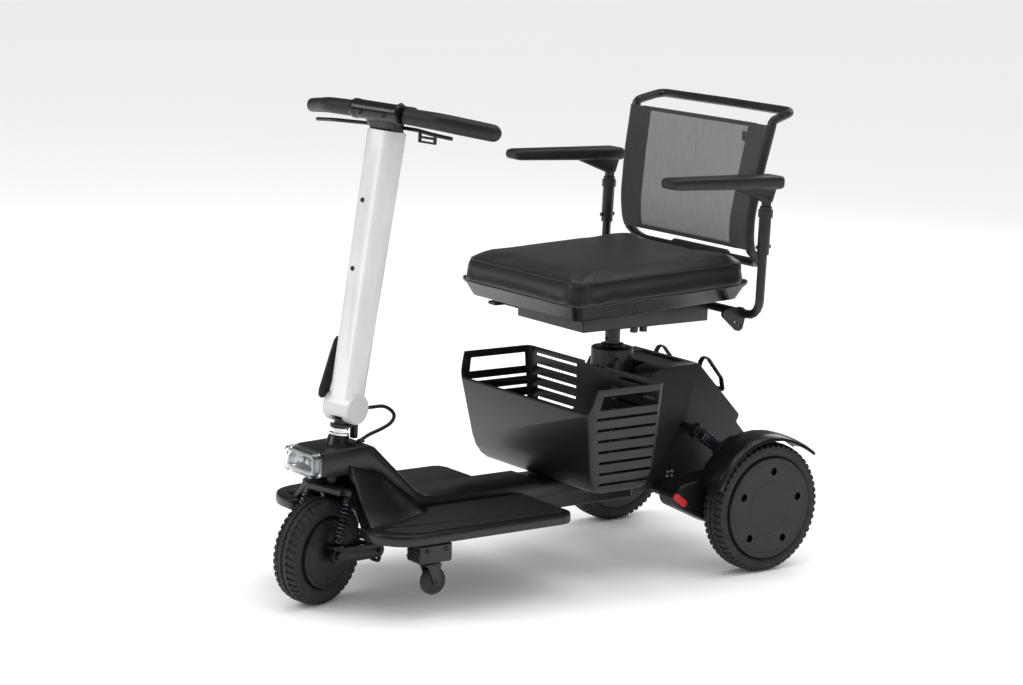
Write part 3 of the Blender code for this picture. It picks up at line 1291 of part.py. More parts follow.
# ---------------------------------------------------------------- casters
def make_caster_fork(name, side, finish):
    """Swivelling fork of an anti-tip caster."""
    x, y, z = CASTER.x * side, CASTER.y, CASTER.z
    stem_y = y - CASTER_TRAIL
    fork = box(name, (x - 0.0165, stem_y - 0.0130, z + 0.0330), (x + 0.0165, y + 0.0100, z + 0.0380),
               finish)
    union(fork, rod("stem", (x, stem_y, z + 0.036), (x, stem_y, CASTER_PLATE_LOW - GAP), 0.0100, finish, 12))
    for turn in (-1, 1):
        inner, outer = sorted((x + turn * 0.0120, x + turn * 0.0160))
        cheek = hull("cheek",
                     [(y, z, 0.0080), (y - 0.018, z + 0.034, 0.0035), (y + 0.005, z + 0.034, 0.0035)],
                     inner, outer, finish, 8)
        union(fork, cheek)
    return union(fork, rod("pin", (x - 0.0180, y, z), (x + 0.0180, y, z), 0.0040, finish, 10))


def make_caster_wheel(name, side, finish):
    profile = [(-0.0105, 0.0040 + RUNNING_GAP), (-0.0105, 0.0235), (-0.0040, CASTER_RADIUS),
               (0.0040, CASTER_RADIUS), (0.0105, 0.0235), (0.0105, 0.0040 + RUNNING_GAP)]
    return turned(name, profile, mirrored(CASTER, side), finish, "X", 20)


# ---------------------------------------------------------------- assembly
def build_chassis(origin, looks):
    for piece in (
        make_main_frame(looks["black_steel"]),
        make_front_cover(looks["black_paint"]),
        make_floor_deck(looks["black_paint"]),
        make_rear_casing(looks["black_plastic"]),
        make_seat_clamp(looks["black_steel"]),
        *make_headlight(looks["lens_clear"], looks["chrome"]),
    ):
        hang(piece, origin)
    for word, side in SIDES:
        hang(make_mat("floor_mat_" + word, side, looks["mat_rubber"]), origin)


def build_front(origin, looks):
    """Everything that turns with the steering; returns the steering empty."""
    up = Vector((0, math.sin(RAKE), math.cos(RAKE)))
    turn = Matrix.Rotation(STEER_ANGLE, 3, up).to_quaternion()
    steering = empty("steering_axis", origin, STEER_CENTRE, turn)
    hang(make_front_fork(looks["black_steel"]), steering)
    hang(make_headset_nut(looks["chrome"]), steering)
    for word, side in SIDES:
        start = (side * 0.0520, -0.4965, 0.1342)
        end = (side * 0.0520, -0.4610, 0.2245)
        spring = make_coil_spring("front_spring_" + word, start, end, 7, 0.0085, 0.0020,
                                  looks["spring_steel"])
        hang(spring, steering)
    arm = empty("front_arm_axis", steering, FRONT_ARM_PIVOT)
    hang(make_front_arm(looks["black_steel"]), arm)
    hang(make_front_axle(looks["chrome"]), arm)
    wheel = empty("front_wheel_axis", arm, FRONT_AXLE)
    tyre_middle = FRONT_AXLE + Vector((FRONT_TYRE_SHIFT, 0.0, 0.0))
    hang(make_tyre("front_tyre", tyre_middle, FRONT_RADIUS, 0.0735, FRONT_TYRE_WIDTH,
                   looks["tyre_rubber"]), wheel)
    hang(make_front_hub(looks["black_plastic"]), wheel)
    return steering


def build_tiller(steering, looks):
    tiller = empty("tiller_axis", steering, TILLER_HINGE)
    hang(make_tiller_column(looks["white_paint"]), tiller)
    hang(make_hinge_pin(looks["grey_plastic"]), tiller)
    hang(make_handlebar(looks["black_paint"]), tiller)
    for word, side in SIDES:
        hang(make_grip("grip_" + word, side, looks["grip_rubber"]), tiller)
    hang(make_control_pod(looks["black_plastic"]), tiller)
    lever = empty("release_lever_axis", tiller, lever_pivot())
    hang(make_release_lever(looks["black_plastic"]), lever)
    rocker = empty("throttle_axis", tiller, rocker_pivot())
    hang(make_throttle_lever(looks["black_plastic"]), rocker)
    dial = empty("speed_dial_axis", tiller, pod_point(0, POD_FACE, 0))
    hang(make_speed_dial(looks["grip_rubber"]), dial)
    button = empty("horn_axis", tiller, pod_point(HORN_X, POD_FACE, 0))
    hang(make_horn_button(looks["grey_plastic"]), button)


def build_cable(origin, looks):
    """Lead from the tiller's hinge to the cover, laid where the steering now stands."""
    up = Vector((0, math.sin(RAKE), math.cos(RAKE)))
    steer = (Matrix.Translation(STEER_CENTRE) @ Matrix.Rotation(STEER_ANGLE, 4, up)
             @ Matrix.Translation(-STEER_CENTRE))
    path = smooth_path(cable_route(steer), 4)
    hang(tube("tiller_cable", path, 0.0031, looks["grip_rubber"], 1), origin)


def build_seat(origin, looks):
    post = empty("seat_post_axis", origin, POST + Vector((0, 0, 0.46)))
    hang(make_seat_post(looks["black_steel"]), post)
    seat = empty("seat_swivel_axis", post, POST + Vector((0, 0, 0.52)))
    hang(make_seat_bracket(looks["black_steel"]), seat)
    hang(make_seat_pan(looks["black_plastic"]), seat)
    hang(make_cushion(looks["seat_leather"]), seat)
    hang(make_armrest_frame(looks["black_steel"]), seat)
    hang(make_backrest_hinge(looks["black_steel"]), seat)
    lever = empty("swivel_lever_axis", seat, SWIVEL_LEVER)
    hang(make_swivel_lever(looks["black_steel"]), lever)
    back = empty("backrest_axis", seat, BACK_HINGE)
    hang(make_backrest_frame(looks["black_steel"]), back)
    hang(make_backrest_mesh(looks["back_mesh"]), back)
    for word, side in SIDES:
        slide = empty("arm_post_axis_" + word, seat, mirrored(ARM_FOOT, side))
        hang(make_arm_post("arm_post_" + word, side, looks["black_steel"]), slide)
        flip = empty("arm_flip_axis_" + word, slide, mirrored(ARM_FLIP, side))
        hang(make_arm_pad("arm_pad_" + word, side, looks["grip_rubber"]), flip)


def build_rear(origin, looks):
    battery = empty("battery_axis", origin, (BATTERY_TOP + BATTERY_LOW) / 2)
    hang(make_battery(looks["black_plastic"]), battery)
    bail = empty("battery_handle_axis", battery, handle_pivot())
    hang(make_battery_handle(looks["black_plastic"]), bail)
    basket = empty("basket_axis", origin, (0.0, 0.12, 0.21))
    hang(make_basket(looks["black_paint"]), basket)
    for word, side in SIDES:
        swing = empty("swing_axis_" + word, origin, mirrored((0.176, SWING_PIVOT.y, SWING_PIVOT.z), side))
        hang(make_swing_arm("swing_arm_" + word, side, looks["black_steel"]), swing)
        hang(make_fender("fender_" + word, side, looks["black_plastic"]), swing)
        wheel = empty("rear_wheel_axis_" + word, swing,
                      mirrored((REAR_WHEEL_X, REAR_AXLE.y, REAR_AXLE.z), side))
        centre = mirrored((REAR_WHEEL_X, REAR_AXLE.y, REAR_AXLE.z), side)
        hang(make_tyre("rear_tyre_" + word, centre, REAR_RADIUS, 0.1110, REAR_TYRE_WIDTH,
                       looks["tyre_rubber"]), wheel)
        hang(make_rear_hub("rear_hub_" + word, side, looks["black_plastic"]), wheel)
        brake = empty("brake_axis_" + word, swing, mirrored((0.21, BRAKE_PIVOT.y, BRAKE_PIVOT.z), side))
        hang(make_brake_lever("brake_lever_" + word, side, looks["red_plastic"]), brake)
        foot = Vector((SHOCK_X * side, *SHOCK_FOOT))
        head = Vector((SHOCK_X * side, *SHOCK_HEAD))
        along = (head - foot).normalized()
        spring = make_coil_spring("rear_spring_" + word, foot + along * 0.0085, head, 7, 0.0125, 0.0026,
                                  looks["spring_steel"])
        hang(spring, origin)


def build_casters(origin, looks):
    for word, side in SIDES:
        swivel = empty("caster_axis_" + word, origin,
                       mirrored((CASTER.x, CASTER.y - CASTER_TRAIL, 0.12), side))
        hang(make_caster_fork("caster_fork_" + word, side, looks["black_steel"]), swivel)
        wheel = empty("caster_wheel_axis_" + word, swivel, mirrored(CASTER, side))
        hang(make_caster_wheel("caster_wheel_" + word, side, looks["tyre_rubber"]), wheel)


def main():
    for thing in list(bpy.data.objects):
        bpy.data.objects.remove(thing)
    looks = make_materials()
    origin = empty("origin", None, (0.0, 0.0, 0.0))
    build_chassis(origin, looks)
    steering = build_front(origin, looks)
    build_tiller(steering, looks)
    build_cable(origin, looks)
    build_seat(origin, looks)
    build_rear(origin, looks)
    build_casters(origin, looks)
    origin.location.y = WHEELBASE_MIDDLE_SHIFT


main()
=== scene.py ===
"""Looks of the three-wheeled mobility scooter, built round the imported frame."""

import json
import math

import bmesh
import bpy
from mathutils import Matrix, Vector
from mathutils.bvhtree import BVHTree


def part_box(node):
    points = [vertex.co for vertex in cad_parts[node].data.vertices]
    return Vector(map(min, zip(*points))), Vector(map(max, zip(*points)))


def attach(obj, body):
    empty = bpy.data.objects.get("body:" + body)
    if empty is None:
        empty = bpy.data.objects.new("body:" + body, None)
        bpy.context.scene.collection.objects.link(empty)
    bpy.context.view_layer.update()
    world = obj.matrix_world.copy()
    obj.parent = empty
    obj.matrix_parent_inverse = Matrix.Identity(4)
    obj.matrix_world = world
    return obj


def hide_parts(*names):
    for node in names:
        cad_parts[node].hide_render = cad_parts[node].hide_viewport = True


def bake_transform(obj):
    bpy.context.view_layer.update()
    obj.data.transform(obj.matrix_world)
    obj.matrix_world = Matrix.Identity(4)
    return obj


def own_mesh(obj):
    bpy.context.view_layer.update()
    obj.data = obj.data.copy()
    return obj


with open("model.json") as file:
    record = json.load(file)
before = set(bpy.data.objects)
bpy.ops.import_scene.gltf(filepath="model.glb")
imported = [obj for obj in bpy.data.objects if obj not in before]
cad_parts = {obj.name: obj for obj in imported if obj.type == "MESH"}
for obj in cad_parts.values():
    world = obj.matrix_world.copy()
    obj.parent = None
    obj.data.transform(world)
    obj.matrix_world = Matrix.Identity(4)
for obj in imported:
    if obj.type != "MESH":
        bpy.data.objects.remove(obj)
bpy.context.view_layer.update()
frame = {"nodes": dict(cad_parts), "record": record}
nodes = frame["nodes"]

# ---------------------------------------------------------------- places shared with the frame
SHIFT = Vector((0.0, -0.00135, 0.0))
STEER_CENTRE = Vector((0.0, -0.4386, 0.3516))
RAKE = math.radians(6.95)
STEER_ANGLE = math.radians(17.05)
STEER_UP = Vector((0.0, math.sin(RAKE), math.cos(RAKE)))
STEER_TURN = Matrix.Rotation(STEER_ANGLE, 3, STEER_UP)
FRONT_AXLE = Vector((0.0, -0.493, 0.1087))
FRONT_RADIUS = 0.108
REAR_AXLE = Vector((0.2545, 0.4623, 0.1395))
REAR_RADIUS = 0.1395
TILLER_HINGE = Vector((0.0, -0.4235, 0.3925))
TILLER_LEAN = math.radians(9.34)
TILLER_UP = Vector((0, math.sin(TILLER_LEAN), math.cos(TILLER_LEAN)))
TILLER_FRONT = Vector((0, -math.cos(TILLER_LEAN), math.sin(TILLER_LEAN)))
BAR_MIDDLE = Vector((0.0, -0.364, 0.982))
BAR_BEND = Vector((0.142, -0.3465, 0.9770))
GRIP_END = Vector((0.245, -0.2820, 0.9600))
SEAT_HALF, SEAT_FRONT, SEAT_REAR = 0.2065, -0.012, 0.450
SEAT_RIM, SEAT_SLOPE = 0.5967, 0.040
CUSHION_FOOT = -0.0085  # the cushion's lowest line, from the pan's rim
SHOCK_FOOT = Vector((0.150, 0.4486, 0.2348))
SHOCK_HEAD = Vector((0.150, 0.3705, 0.2869))
DISC_HOLES, DISC_HOLE_TURN = 0.0794, math.radians(5.35)
SIDES = (("left", 1), ("right", -1))


def still(x, y, z):
    """A point of the unsteered model in the row frame."""
    return Vector((x, y, z)) + SHIFT


def steered(x, y, z):
    """A point drawn with the wheel straight ahead, turned with the steering."""
    return STEER_CENTRE + STEER_TURN @ (Vector((x, y, z)) - STEER_CENTRE) + SHIFT


def tiller(x, ahead, along):
    """A point in the tiller's own frame: across, in front of its middle, up its length."""
    return steered(*(TILLER_HINGE + Vector((x, 0, 0)) + TILLER_FRONT * ahead + TILLER_UP * along))


# ---------------------------------------------------------------- material nodes
class Nodes:
    """Short calls for wiring one material."""

    def __init__(self, name, colour, roughness, metallic=0.0, **sockets):
        self.material = bpy.data.materials.new(name)
        self.material.use_nodes = True
        self.tree = self.material.node_tree
        self.shader = self.tree.nodes["Principled BSDF"]
        sockets.update(Base_Color=(*colour, 1.0), Roughness=roughness, Metallic=metallic)
        for socket, value in sockets.items():
            self.shader.inputs[socket.replace("_", " ")].default_value = value
        self.material.diffuse_color = (*colour, 1.0)
        self.place = self.add("ShaderNodeTexCoord").outputs["Object"]

    def add(self, kind, inputs=None, **values):
        node = self.tree.nodes.new(kind)
        for key, value in values.items():
            setattr(node, key, value)
        for socket, value in (inputs or {}).items():
            node.inputs[socket].default_value = value
        return node

    def link(self, out, into):
        self.tree.links.new(out, into)

    def noise(self, scale, detail=3.0, roughness=0.5, stretch=None):
        node = self.add("ShaderNodeTexNoise", {"Scale": scale, "Detail": detail, "Roughness": roughness})
        self.link(self.stretched(stretch), node.inputs["Vector"])
        return node.outputs["Fac"]

    def stretched(self, stretch, turn=(0, 0, 0)):
        if stretch is None:
            return self.place
        node = self.add("ShaderNodeMapping", {"Scale": stretch, "Rotation": turn})
        self.link(self.place, node.inputs["Vector"])
        return node.outputs["Vector"]

    def cells(self, scale):
        node = self.add("ShaderNodeTexVoronoi", {"Scale": scale}, feature="DISTANCE_TO_EDGE")
        self.link(self.place, node.inputs["Vector"])
        return node.outputs["Distance"]

    def wave(self, scale, direction="X", turn=(0, 0, 0)):
        node = self.add("ShaderNodeTexWave", {"Scale": scale}, bands_direction=direction)
        self.link(self.stretched((1, 1, 1), turn), node.inputs["Vector"])
        return node.outputs["Fac"]

    def math(self, operation, first, second):
        node = self.add("ShaderNodeMath", operation=operation)
        for slot, value in zip(node.inputs, (first, second)):
            if isinstance(value, (int, float)):
                slot.default_value = value
            else:
                self.link(value, slot)
        return node.outputs[0]

    def ramp(self, value, low, high, from_low=0.0, from_high=1.0):
        node = self.add("ShaderNodeMapRange", {"From Min": from_low, "From Max": from_high, "To Min": low,
                                               "To Max": high})
        self.link(value, node.inputs["Value"])
        return node.outputs["Result"]

    def tint(self, value, dark, light, low=0.0, high=1.0):
        node = self.add("ShaderNodeValToRGB")
        for element, place, colour in zip(node.color_ramp.elements, (low, high), (dark, light)):
            element.position = place
            element.color = (*colour, 1.0)
        self.link(value, node.inputs["Fac"])
        self.link(node.outputs["Color"], self.shader.inputs["Base Color"])

    def rough(self, value, low, high):
        self.link(self.ramp(value, low, high), self.shader.inputs["Roughness"])

    def bump(self, *layers, edge=0.0):
        """Stacks (height, strength, distance) layers over softened edges."""
        normal = None
        if edge:
            normal = self.add("ShaderNodeBevel", {"Radius": edge}, samples=4).outputs["Normal"]
        for height, strength, distance in layers:
            node = self.add("ShaderNodeBump", {"Strength": strength, "Distance": distance})
            self.link(height, node.inputs["Height"])
            if normal is not None:
                self.link(normal, node.inputs["Normal"])
            normal = node.outputs["Normal"]
        self.link(normal, self.shader.inputs["Normal"])
        return self


def coated(name, dark, light, rough, grain, depth, edge=0.0008, metallic=0.0, **sockets):
    """Paint or plastic: cloudy colour, uneven gloss and a fine surface grain."""
    made = Nodes(name, light, rough[0], metallic, **sockets)
    cloud = made.noise(14.0, 4.0)
    made.tint(cloud, dark, light, 0.3, 0.75)
    made.rough(made.noise(55.0, 5.0, 0.6), *rough)
    made.bump((made.noise(grain, 2.0), depth, 0.0004), edge=edge)
    return made.material


def make_materials():
    black = (0.0035, 0.0036, 0.0041)
    soft_black = (0.0068, 0.0069, 0.0077)
    made = {
        "white_paint": coated("white_gloss", (0.58, 0.58, 0.585), (0.65, 0.65, 0.65), (0.20, 0.30), 900.0,
                              0.03, 0.0012, Coat_Weight=0.35, Coat_Roughness=0.12),
        "white_cap": coated("white_satin", (0.53, 0.52, 0.51), (0.58, 0.57, 0.56), (0.36, 0.46), 1600.0, 0.06,
                            0.0012),
        "grey_plastic": coated("light_grey_plastic", (0.42, 0.42, 0.41), (0.55, 0.54, 0.52), (0.36, 0.50),
                               1400.0, 0.10),
        "black_paint": coated("satin_black_moulding", black, soft_black, (0.28, 0.40), 2600.0, 0.10, 0.0010,
                              Specular_IOR_Level=0.5),
        "deck_black": coated("deck_black_moulding", black, soft_black, (0.24, 0.36), 1500.0, 0.04, 0.0040),
        "black_steel": coated("powder_coated_steel", black, (0.014, 0.014, 0.0155), (0.26, 0.42), 1300.0,
                              0.22, 0.0007),
        "black_plastic": coated("grained_black_plastic", black, soft_black, (0.38, 0.52), 1900.0, 0.22,
                                0.0010),
        "gloss_plastic": coated("smooth_black_plastic", black, soft_black, (0.20, 0.32), 900.0, 0.04, 0.0010),
        "red_plastic": coated("red_lever_plastic", (0.42, 0.008, 0.016), (0.62, 0.012, 0.022), (0.30, 0.42),
                              1200.0, 0.10, 0.0007),
        "spring_steel": coated("coated_spring_wire", (0.045, 0.042, 0.062), (0.10, 0.095, 0.14), (0.18, 0.30),
                               700.0, 0.05, 0.0, 0.85),
        # Near-black, low-gloss lining for the wheel pockets: painted shade.
        "painted_pocket_shade": coated("painted_recess_shade", (0.0010, 0.0010, 0.0011), (0.0018, 0.0018, 0.0020),
                               (0.75, 0.90), 800.0, 0.10, 0.0, 0.0, Specular_IOR_Level=0.1),
    }
    rubber = Nodes("soft_touch_rubber", (0.013, 0.013, 0.014), 0.5)
    rubber.tint(rubber.noise(20.0, 4.0), (0.0045, 0.0045, 0.005), (0.0085, 0.0085, 0.009), 0.3, 0.8)
    rubber.rough(rubber.noise(130.0, 3.0), 0.42, 0.60)
    made["grip_rubber"] = rubber.bump((rubber.cells(1500.0), 0.20, 0.0003), edge=0.0010).material

    tyre = Nodes("tyre_rubber", (0.02, 0.02, 0.021), 0.7)
    tyre.tint(tyre.noise(60.0, 5.0, 0.65), (0.008, 0.008, 0.0085), (0.022, 0.022, 0.023), 0.3, 0.8)
    tyre.rough(tyre.noise(90.0, 4.0), 0.55, 0.82)
    made["tyre_rubber"] = tyre.bump((tyre.noise(1100.0, 3.0), 0.30, 0.0004), edge=0.0006).material

    mat = Nodes("studded_mat_rubber", (0.018, 0.018, 0.019), 0.55)
    # The rib pattern also sets the colour, darker in the grooves and lighter on the stud tops: painted shade.
    ribs = mat.math("MULTIPLY", mat.wave(36.0, "X"), mat.wave(36.0, "Y"))
    mat.tint(ribs, (0.007, 0.007, 0.0075), (0.026, 0.026, 0.027), 0.05, 0.7)
    mat.rough(mat.noise(80.0, 3.0), 0.40, 0.58)
    made["mat_rubber"] = mat.bump((ribs, 0.85, 0.0012), (mat.noise(1600.0, 2.0), 0.12, 0.0003)).material

    leather = Nodes("grained_leatherette", (0.012, 0.012, 0.013), 0.40, Sheen_Weight=0.06,
                    Sheen_Roughness=0.5)
    grain = leather.cells(620.0)
    fine = leather.noise(2200.0, 3.0)
    leather.tint(leather.noise(9.0, 5.0, 0.6), (0.0050, 0.0050, 0.0058), (0.0095, 0.0095, 0.0105), 0.3, 0.75)
    leather.rough(leather.noise(26.0, 5.0, 0.6), 0.30, 0.46)
    folds = leather.noise(11.0, 2.0)
    made["seat_leather"] = leather.bump((folds, 0.10, 0.004), (grain, 0.16, 0.0004),
                                        (fine, 0.08, 0.0002)).material

    weave = Nodes("open_mesh_fabric", (0.16, 0.16, 0.165), 0.85, Sheen_Weight=0.15, Sheen_Roughness=0.6)
    threads = weave.wave(210.0, "X")
    picks = weave.wave(210.0, "Z")
    net = weave.math("MAXIMUM", threads, picks)
    slubs = weave.noise(60.0, 4.0, 0.6, (6.0, 1.0, 0.6))
    weave.tint(weave.math("MULTIPLY", net, weave.ramp(slubs, 0.55, 1.25)), (0.035, 0.035, 0.037),
               (0.26, 0.25, 0.245), 0.15, 1.0)
    weave.link(weave.ramp(net, 0.45, 1.0, 0.45, 0.85), weave.shader.inputs["Alpha"])
    made["back_mesh"] = weave.bump((net, 0.5, 0.0004)).material

    band = Nodes("woven_black_band", (0.012, 0.012, 0.013), 0.8, Sheen_Weight=0.25, Sheen_Roughness=0.5)
    cross = band.math("MULTIPLY", band.wave(300.0, "X", (0, 0.785, 0)), band.wave(300.0, "Z", (0, 0.785, 0)))
    band.tint(cross, (0.006, 0.006, 0.0065), (0.022, 0.022, 0.023), 0.1, 0.8)
    band.rough(band.noise(70.0, 3.0), 0.65, 0.9)
    made["black_band"] = band.bump((cross, 0.5, 0.0004), (band.noise(500.0, 3.0), 0.2, 0.0003)).material

    chrome = Nodes("bright_chrome", (0.86, 0.86, 0.87), 0.10, 1.0)
    chrome.tint(chrome.noise(40.0, 3.0), (0.76, 0.76, 0.77), (0.90, 0.90, 0.91), 0.3, 0.8)
    chrome.rough(chrome.noise(160.0, 4.0), 0.05, 0.16)
    made["chrome"] = chrome.bump((chrome.noise(420.0, 2.0), 0.05, 0.0002), edge=0.0006).material

    lens = Nodes("clear_lens", (0.95, 0.965, 0.97), 0.03, Transmission_Weight=1.0, IOR=1.25)
    lens.rough(lens.noise(70.0, 3.0), 0.01, 0.05)
    made["lens_clear"] = lens.bump((lens.noise(90.0, 2.0), 0.02, 0.0003)).material

    reflector = Nodes("lamp_reflector", (0.40, 0.41, 0.42), 0.25, 0.9)
    flutes = reflector.wave(26.0, "X")
    reflector.tint(flutes, (0.30, 0.31, 0.32), (0.50, 0.51, 0.52), 0.1, 0.9)
    reflector.rough(reflector.noise(90.0, 3.0), 0.16, 0.34)
    made["reflector"] = reflector.bump((flutes, 0.25, 0.0006), edge=0.0010).material

    rim = Nodes("lamp_inner_frame", (0.62, 0.64, 0.65), 0.22, 0.2, Coat_Weight=0.6)
    rim.tint(rim.noise(60.0, 3.0), (0.52, 0.54, 0.55), (0.68, 0.70, 0.71), 0.3, 0.8)
    rim.rough(rim.noise(120.0, 3.0), 0.14, 0.30)
    made["lamp_frame"] = rim.bump((rim.noise(300.0, 2.0), 0.04, 0.0003), edge=0.0008).material

    diode = Nodes("lamp_diode", (0.95, 0.95, 0.90), 0.25, Coat_Weight=0.5)
    diode.rough(diode.noise(220.0, 3.0), 0.16, 0.34)
    made["lamp_diode"] = diode.bump((diode.cells(700.0), 0.25, 0.0004)).material
    return made


looks = make_materials()


# ---------------------------------------------------------------- mesh helpers
def placed(name, data):
    """A new object of this name in the scene."""
    made = bpy.data.objects.new(name, data)
    bpy.context.scene.collection.objects.link(made)
    return made


def meshed(name, bm):
    """A mesh from a bmesh, which is freed."""
    mesh = bpy.data.meshes.new(name)
    bm.to_mesh(mesh)
    bm.free()
    return mesh


def dressed(mesh, material):
    """Gives a mesh this one material."""
    mesh.materials.clear()
    mesh.materials.append(material)


def piece(name, bm, look, smooth_angle=40):
    """A finished object from a bmesh in row coordinates."""
    bmesh.ops.recalc_face_normals(bm, faces=bm.faces)
    mesh = meshed(name, bm)
    made = placed(name, mesh)
    dressed(mesh, looks[look])
    mesh.shade_smooth()
    mesh.set_sharp_from_angle(angle=math.radians(smooth_angle))
    return made


def skin(bm, rings, wrap=False, caps=True):
    """Faces between rings with equal point counts."""
    loops = [[bm.verts.new(point) for point in ring] for ring in rings]
    pairs = list(zip(loops, loops[1:]))
    if wrap:
        pairs.append((loops[-1], loops[0]))
    elif caps:
        bm.faces.new(reversed(loops[0]))
        bm.faces.new(loops[-1])
    for first, second in pairs:
        for i in range(len(first)):
            j = (i + 1) % len(first)
            bm.faces.new((first[i], first[j], second[j], second[i]))
    return loops


def ring_round(centre, direction, radius, sides, normal):
    """A circle of points about a direction, counted from the normal."""
    direction = direction.normalized()
    across = normal.normalized()
    over = direction.cross(across)
    return [centre + (across * math.cos(2 * math.pi * k / sides)
                      + over * math.sin(2 * math.pi * k / sides)) * radius for k in range(sides)]


def tube(bm, path, radius, sides):
    """A round tube along an open path."""
    rings = []
    normal = None
    for i, point in enumerate(path):
        tangent = (path[min(i + 1, len(path) - 1)] - path[max(i - 1, 0)]).normalized()
        if normal is None:
            normal = tangent.orthogonal().normalized()
        normal = (normal - tangent * normal.dot(tangent)).normalized()
        rings.append(ring_round(point, tangent, radius, sides, normal))
    skin(bm, rings)


def lathe(bm, profile, centre, axis, sides=64):
    """Turns a closed profile of (along, radius) round an axis."""
    axis = axis.normalized()
    across = axis.orthogonal().normalized()
    over = axis.cross(across)
    rings = []
    for k in range(sides):
        turn = 2 * math.pi * k / sides
        outward = across * math.cos(turn) + over * math.sin(turn)
        rings.append([centre + axis * a + outward * r for a, r in profile])
    skin(bm, rings, wrap=True)


def rounded_rectangle(half_u, half_v, radius, steps=6, centre=(0.0, 0.0)):
    points = []
    for quarter, (su, sv) in enumerate(((1, 1), (-1, 1), (-1, -1), (1, -1))):
        for step in range(steps + 1):
            turn = math.pi / 2 * (quarter + step / steps)
            points.append((centre[0] + su * (half_u - radius) + radius * math.cos(turn),
                           centre[1] + sv * (half_v - radius) + radius * math.sin(turn)))
    return points


def smooth_path(points, per_span):
    """A Catmull-Rom curve through points."""
    padded = [points[0] * 2 - points[1]] + points + [points[-1] * 2 - points[-2]]
    path = []
    for a, b, c, d in zip(padded, padded[1:], padded[2:], padded[3:]):
        for step in range(per_span):
            t = step / per_span
            path.append(0.5 * ((2 * b) + (c - a) * t + (2 * a - 5 * b + 4 * c - d) * t * t
                               + (3 * b - a - 3 * c + d) * t * t * t))
    return path + [points[-1]]


def bent_path(corners, radius, steps=8):
    """A path through corners whose turns are arcs."""
    path = [corners[0]]
    for before, corner, after in zip(corners, corners[1:], corners[2:]):
        inward = (before - corner).normalized()
        outward = (after - corner).normalized()
        half = inward.angle(outward) / 2
        middle = corner + (inward + outward).normalized() * (radius / math.sin(half))
        first = corner + inward * (radius / math.tan(half)) - middle
        last = corner + outward * (radius / math.tan(half)) - middle
        path += [middle + first.slerp(last, step / steps) * radius for step in range(steps + 1)]
    return path + [corners[-1]]


def modify(thing, kind, **values):
    """Adds a modifier and bakes it into the mesh."""
    step = thing.modifiers.new(kind, kind)
    for key, value in values.items():
        setattr(step, key, value)
    graph = bpy.context.evaluated_depsgraph_get()
    mesh = bpy.data.meshes.new_from_object(thing.evaluated_get(graph))
    thing.modifiers.clear()
    old = thing.data
    thing.data = mesh
    bpy.data.meshes.remove(old)
    return thing


# ---------------------------------------------------------------- camera, light and floor
def make_stage():
    right = Vector((0.5868, 0.8091, 0.0309))
    up = Vector((-0.1665, 0.0832, 0.9825))
    back = right.cross(up).normalized()
    up = back.cross(right).normalized()
    camera_data = bpy.data.cameras.new("camera")
    camera_data.lens = 96.75
    camera_data.sensor_width = 36.0
    camera_data.sensor_fit = "HORIZONTAL"
    camera = placed("camera", camera_data)
    place = Matrix((right.normalized(), up, back)).transposed().to_4x4()
    place.translation = Vector((4.5192, -3.3377, 1.5364)) + SHIFT
    camera.matrix_world = place
    bpy.context.scene.camera = camera

    world = bpy.data.worlds.new("studio")
    world.use_nodes = True
    tree = world.node_tree
    paths = tree.nodes.new("ShaderNodeLightPath")
    level = tree.nodes.new("ShaderNodeMapRange")
    level.inputs["To Min"].default_value = 0.92
    level.inputs["To Max"].default_value = 0.13
    tree.links.new(paths.outputs["Is Glossy Ray"], level.inputs["Value"])
    tree.links.new(level.outputs["Result"], tree.nodes["Background"].inputs["Strength"])
    tree.nodes["Background"].inputs["Color"].default_value = (1.0, 1.0, 1.0, 1.0)
    bpy.context.scene.world = world
    bpy.context.scene.view_settings.view_transform = "Standard"

    bm = bmesh.new()
    bmesh.ops.create_grid(bm, x_segments=1, y_segments=1, size=60.0)
    floor = placed("floor", meshed("floor", bm))
    paper = Nodes("paper_floor", (0.90, 0.90, 0.90), 0.95, Specular_IOR_Level=0.1)
    paper.tint(paper.noise(0.7, 2.0), (0.935, 0.935, 0.935), (0.95, 0.95, 0.95))
    dressed(floor.data, paper.material)

    for name, spot, aim, size, power in (
        ("key", (-1.8, -4.6, 3.6), (0.0, -0.1, 0.5), (2.6, 2.6), 85.0),
        ("top", (0.3, 0.4, 4.2), (0.0, 0.0, 0.4), (4.0, 4.0), 75.0),
        ("side", (4.6, 0.8, 2.6), (0.0, 0.1, 0.4), (1.2, 3.2), 12.0),
        ("back", (-1.2, 4.4, 2.8), (0.0, 0.1, 0.6), (3.4, 1.6), 60.0),
    ):
        light = bpy.data.lights.new(name, "AREA")
        light.shape = "RECTANGLE"
        light.size, light.size_y = size
        light.energy = power
        lamp = placed(name, light)
        lamp.location = spot
        lamp.rotation_euler = (Vector(aim) - Vector(spot)).to_track_quat("-Z", "Y").to_euler()


make_stage()


